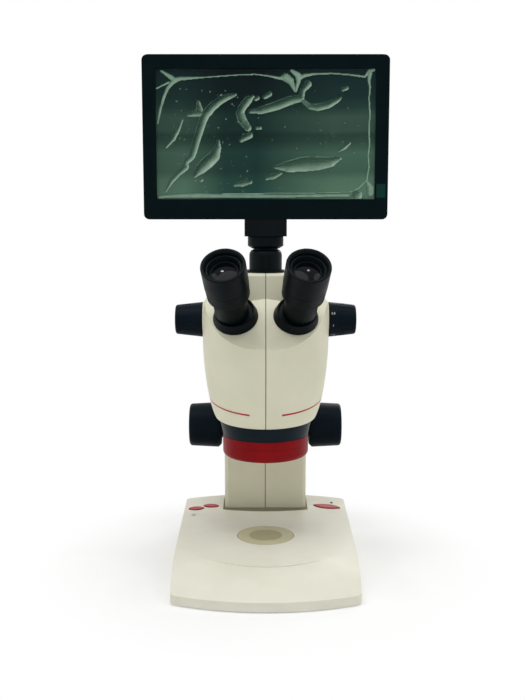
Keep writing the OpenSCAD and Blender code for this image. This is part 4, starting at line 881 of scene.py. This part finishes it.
def make_world():
    """White to the camera, in metal and through glass; a weaker even light otherwise."""
    world = bpy.data.worlds.new("studio")
    bpy.context.scene.world = world
    world.use_nodes = True
    tree = world.node_tree
    level = tree.nodes.new("ShaderNodeMapRange")
    level.inputs["To Min"].default_value = WORLD_LIGHT
    tree.links.new(seen_rays(tree), level.inputs["Value"])
    back = tree.nodes["Background"]
    back.inputs["Color"].default_value = (1, 1, 1, 1)
    tree.links.new(level.outputs["Result"], back.inputs["Strength"])


# Floor: half its side, tones and their cells in a metre, and distances between which its shadow fades
FLOOR_HALF = 6.0
FLOOR_DARK, FLOOR_LIGHT, FLOOR_CELLS = srgb(247, 247, 246), srgb(250, 250, 249), 4
FLOOR_NEAR, FLOOR_FAR = 0.09, 0.24


def make_floor():
    """Pale floor that keeps the shadow near the object and fades to white further off."""
    made = Material("floor", Roughness=0.9, Specular_IOR_Level=0.0)
    made.tones(FLOOR_CELLS, FLOOR_DARK, FLOOR_LIGHT)
    distance = made.node("ShaderNodeVectorMath", operation="LENGTH")
    made.link(made.coords, distance.inputs[0])
    fade = made.span(distance.outputs["Value"], 0, 1, FLOOR_NEAR, FLOOR_FAR)
    seen = made.node("ShaderNodeMath", operation="MULTIPLY")
    made.link(fade, seen.inputs[0])
    made.link(seen_rays(made.tree), seen.inputs[1])
    white = made.node("ShaderNodeEmission")
    mix = made.node("ShaderNodeMixShader")
    made.link(seen.outputs[0], mix.inputs["Fac"])
    made.link(made.shader.outputs[0], mix.inputs[1])
    made.link(white.outputs[0], mix.inputs[2])
    made.link(mix.outputs[0], made.tree.nodes["Material Output"].inputs["Surface"])
    corners = [(x * FLOOR_HALF, y * FLOOR_HALF, 0) for x, y in ((-1, -1), (1, -1), (1, 1), (-1, 1))]
    data = bpy.data.meshes.new("floor")
    data.from_pydata(corners, [], [(0, 1, 2, 3)])
    data.materials.append(made.mat)
    floor = bpy.data.objects.new("floor", data)
    bpy.context.scene.collection.objects.link(floor)


# Lamp name, place and diameter in metres, and power in watts; each points at the middle of the object
LAMPS = [
    ("key", (-0.15, -0.70, 1.95), 1.2, 9.0),
    ("left", (-1.00, -0.35, 1.60), 0.9, 4.5),
    ("right", (1.00, -0.35, 1.60), 0.9, 5.0),
    ("ceiling_left", (-0.40, -0.10, 1.85), 0.10, 1.5),
    ("ceiling_right", (0.36, -0.05, 1.85), 0.10, 1.2),
    ("back", (0.6, 1.5, 1.0), 1.0, 6.0),
]
LAMP_TARGET = Vector((0, 0, 230)) * MM


def make_lamps():
    """Round soft lamps from above, and one from behind."""
    for name, place, size, power in LAMPS:
        data = bpy.data.lights.new(name, "AREA")
        data.shape = "DISK"
        data.size = size
        data.energy = power
        lamp = bpy.data.objects.new(name, data)
        lamp.location = place
        lamp.rotation_euler = (LAMP_TARGET - lamp.location).to_track_quat("-Z", "Y").to_euler()
        bpy.context.scene.collection.objects.link(lamp)


bpy.context.scene.view_settings.view_transform = "Standard"
make_camera()
make_world()
make_floor()
make_lamps()
dress_nodes()
head_stripes()
zoom_numbers()
screen_film()
film_tab()
lamp_icon()
indicator_dome()
tower_front()
stage_lip()
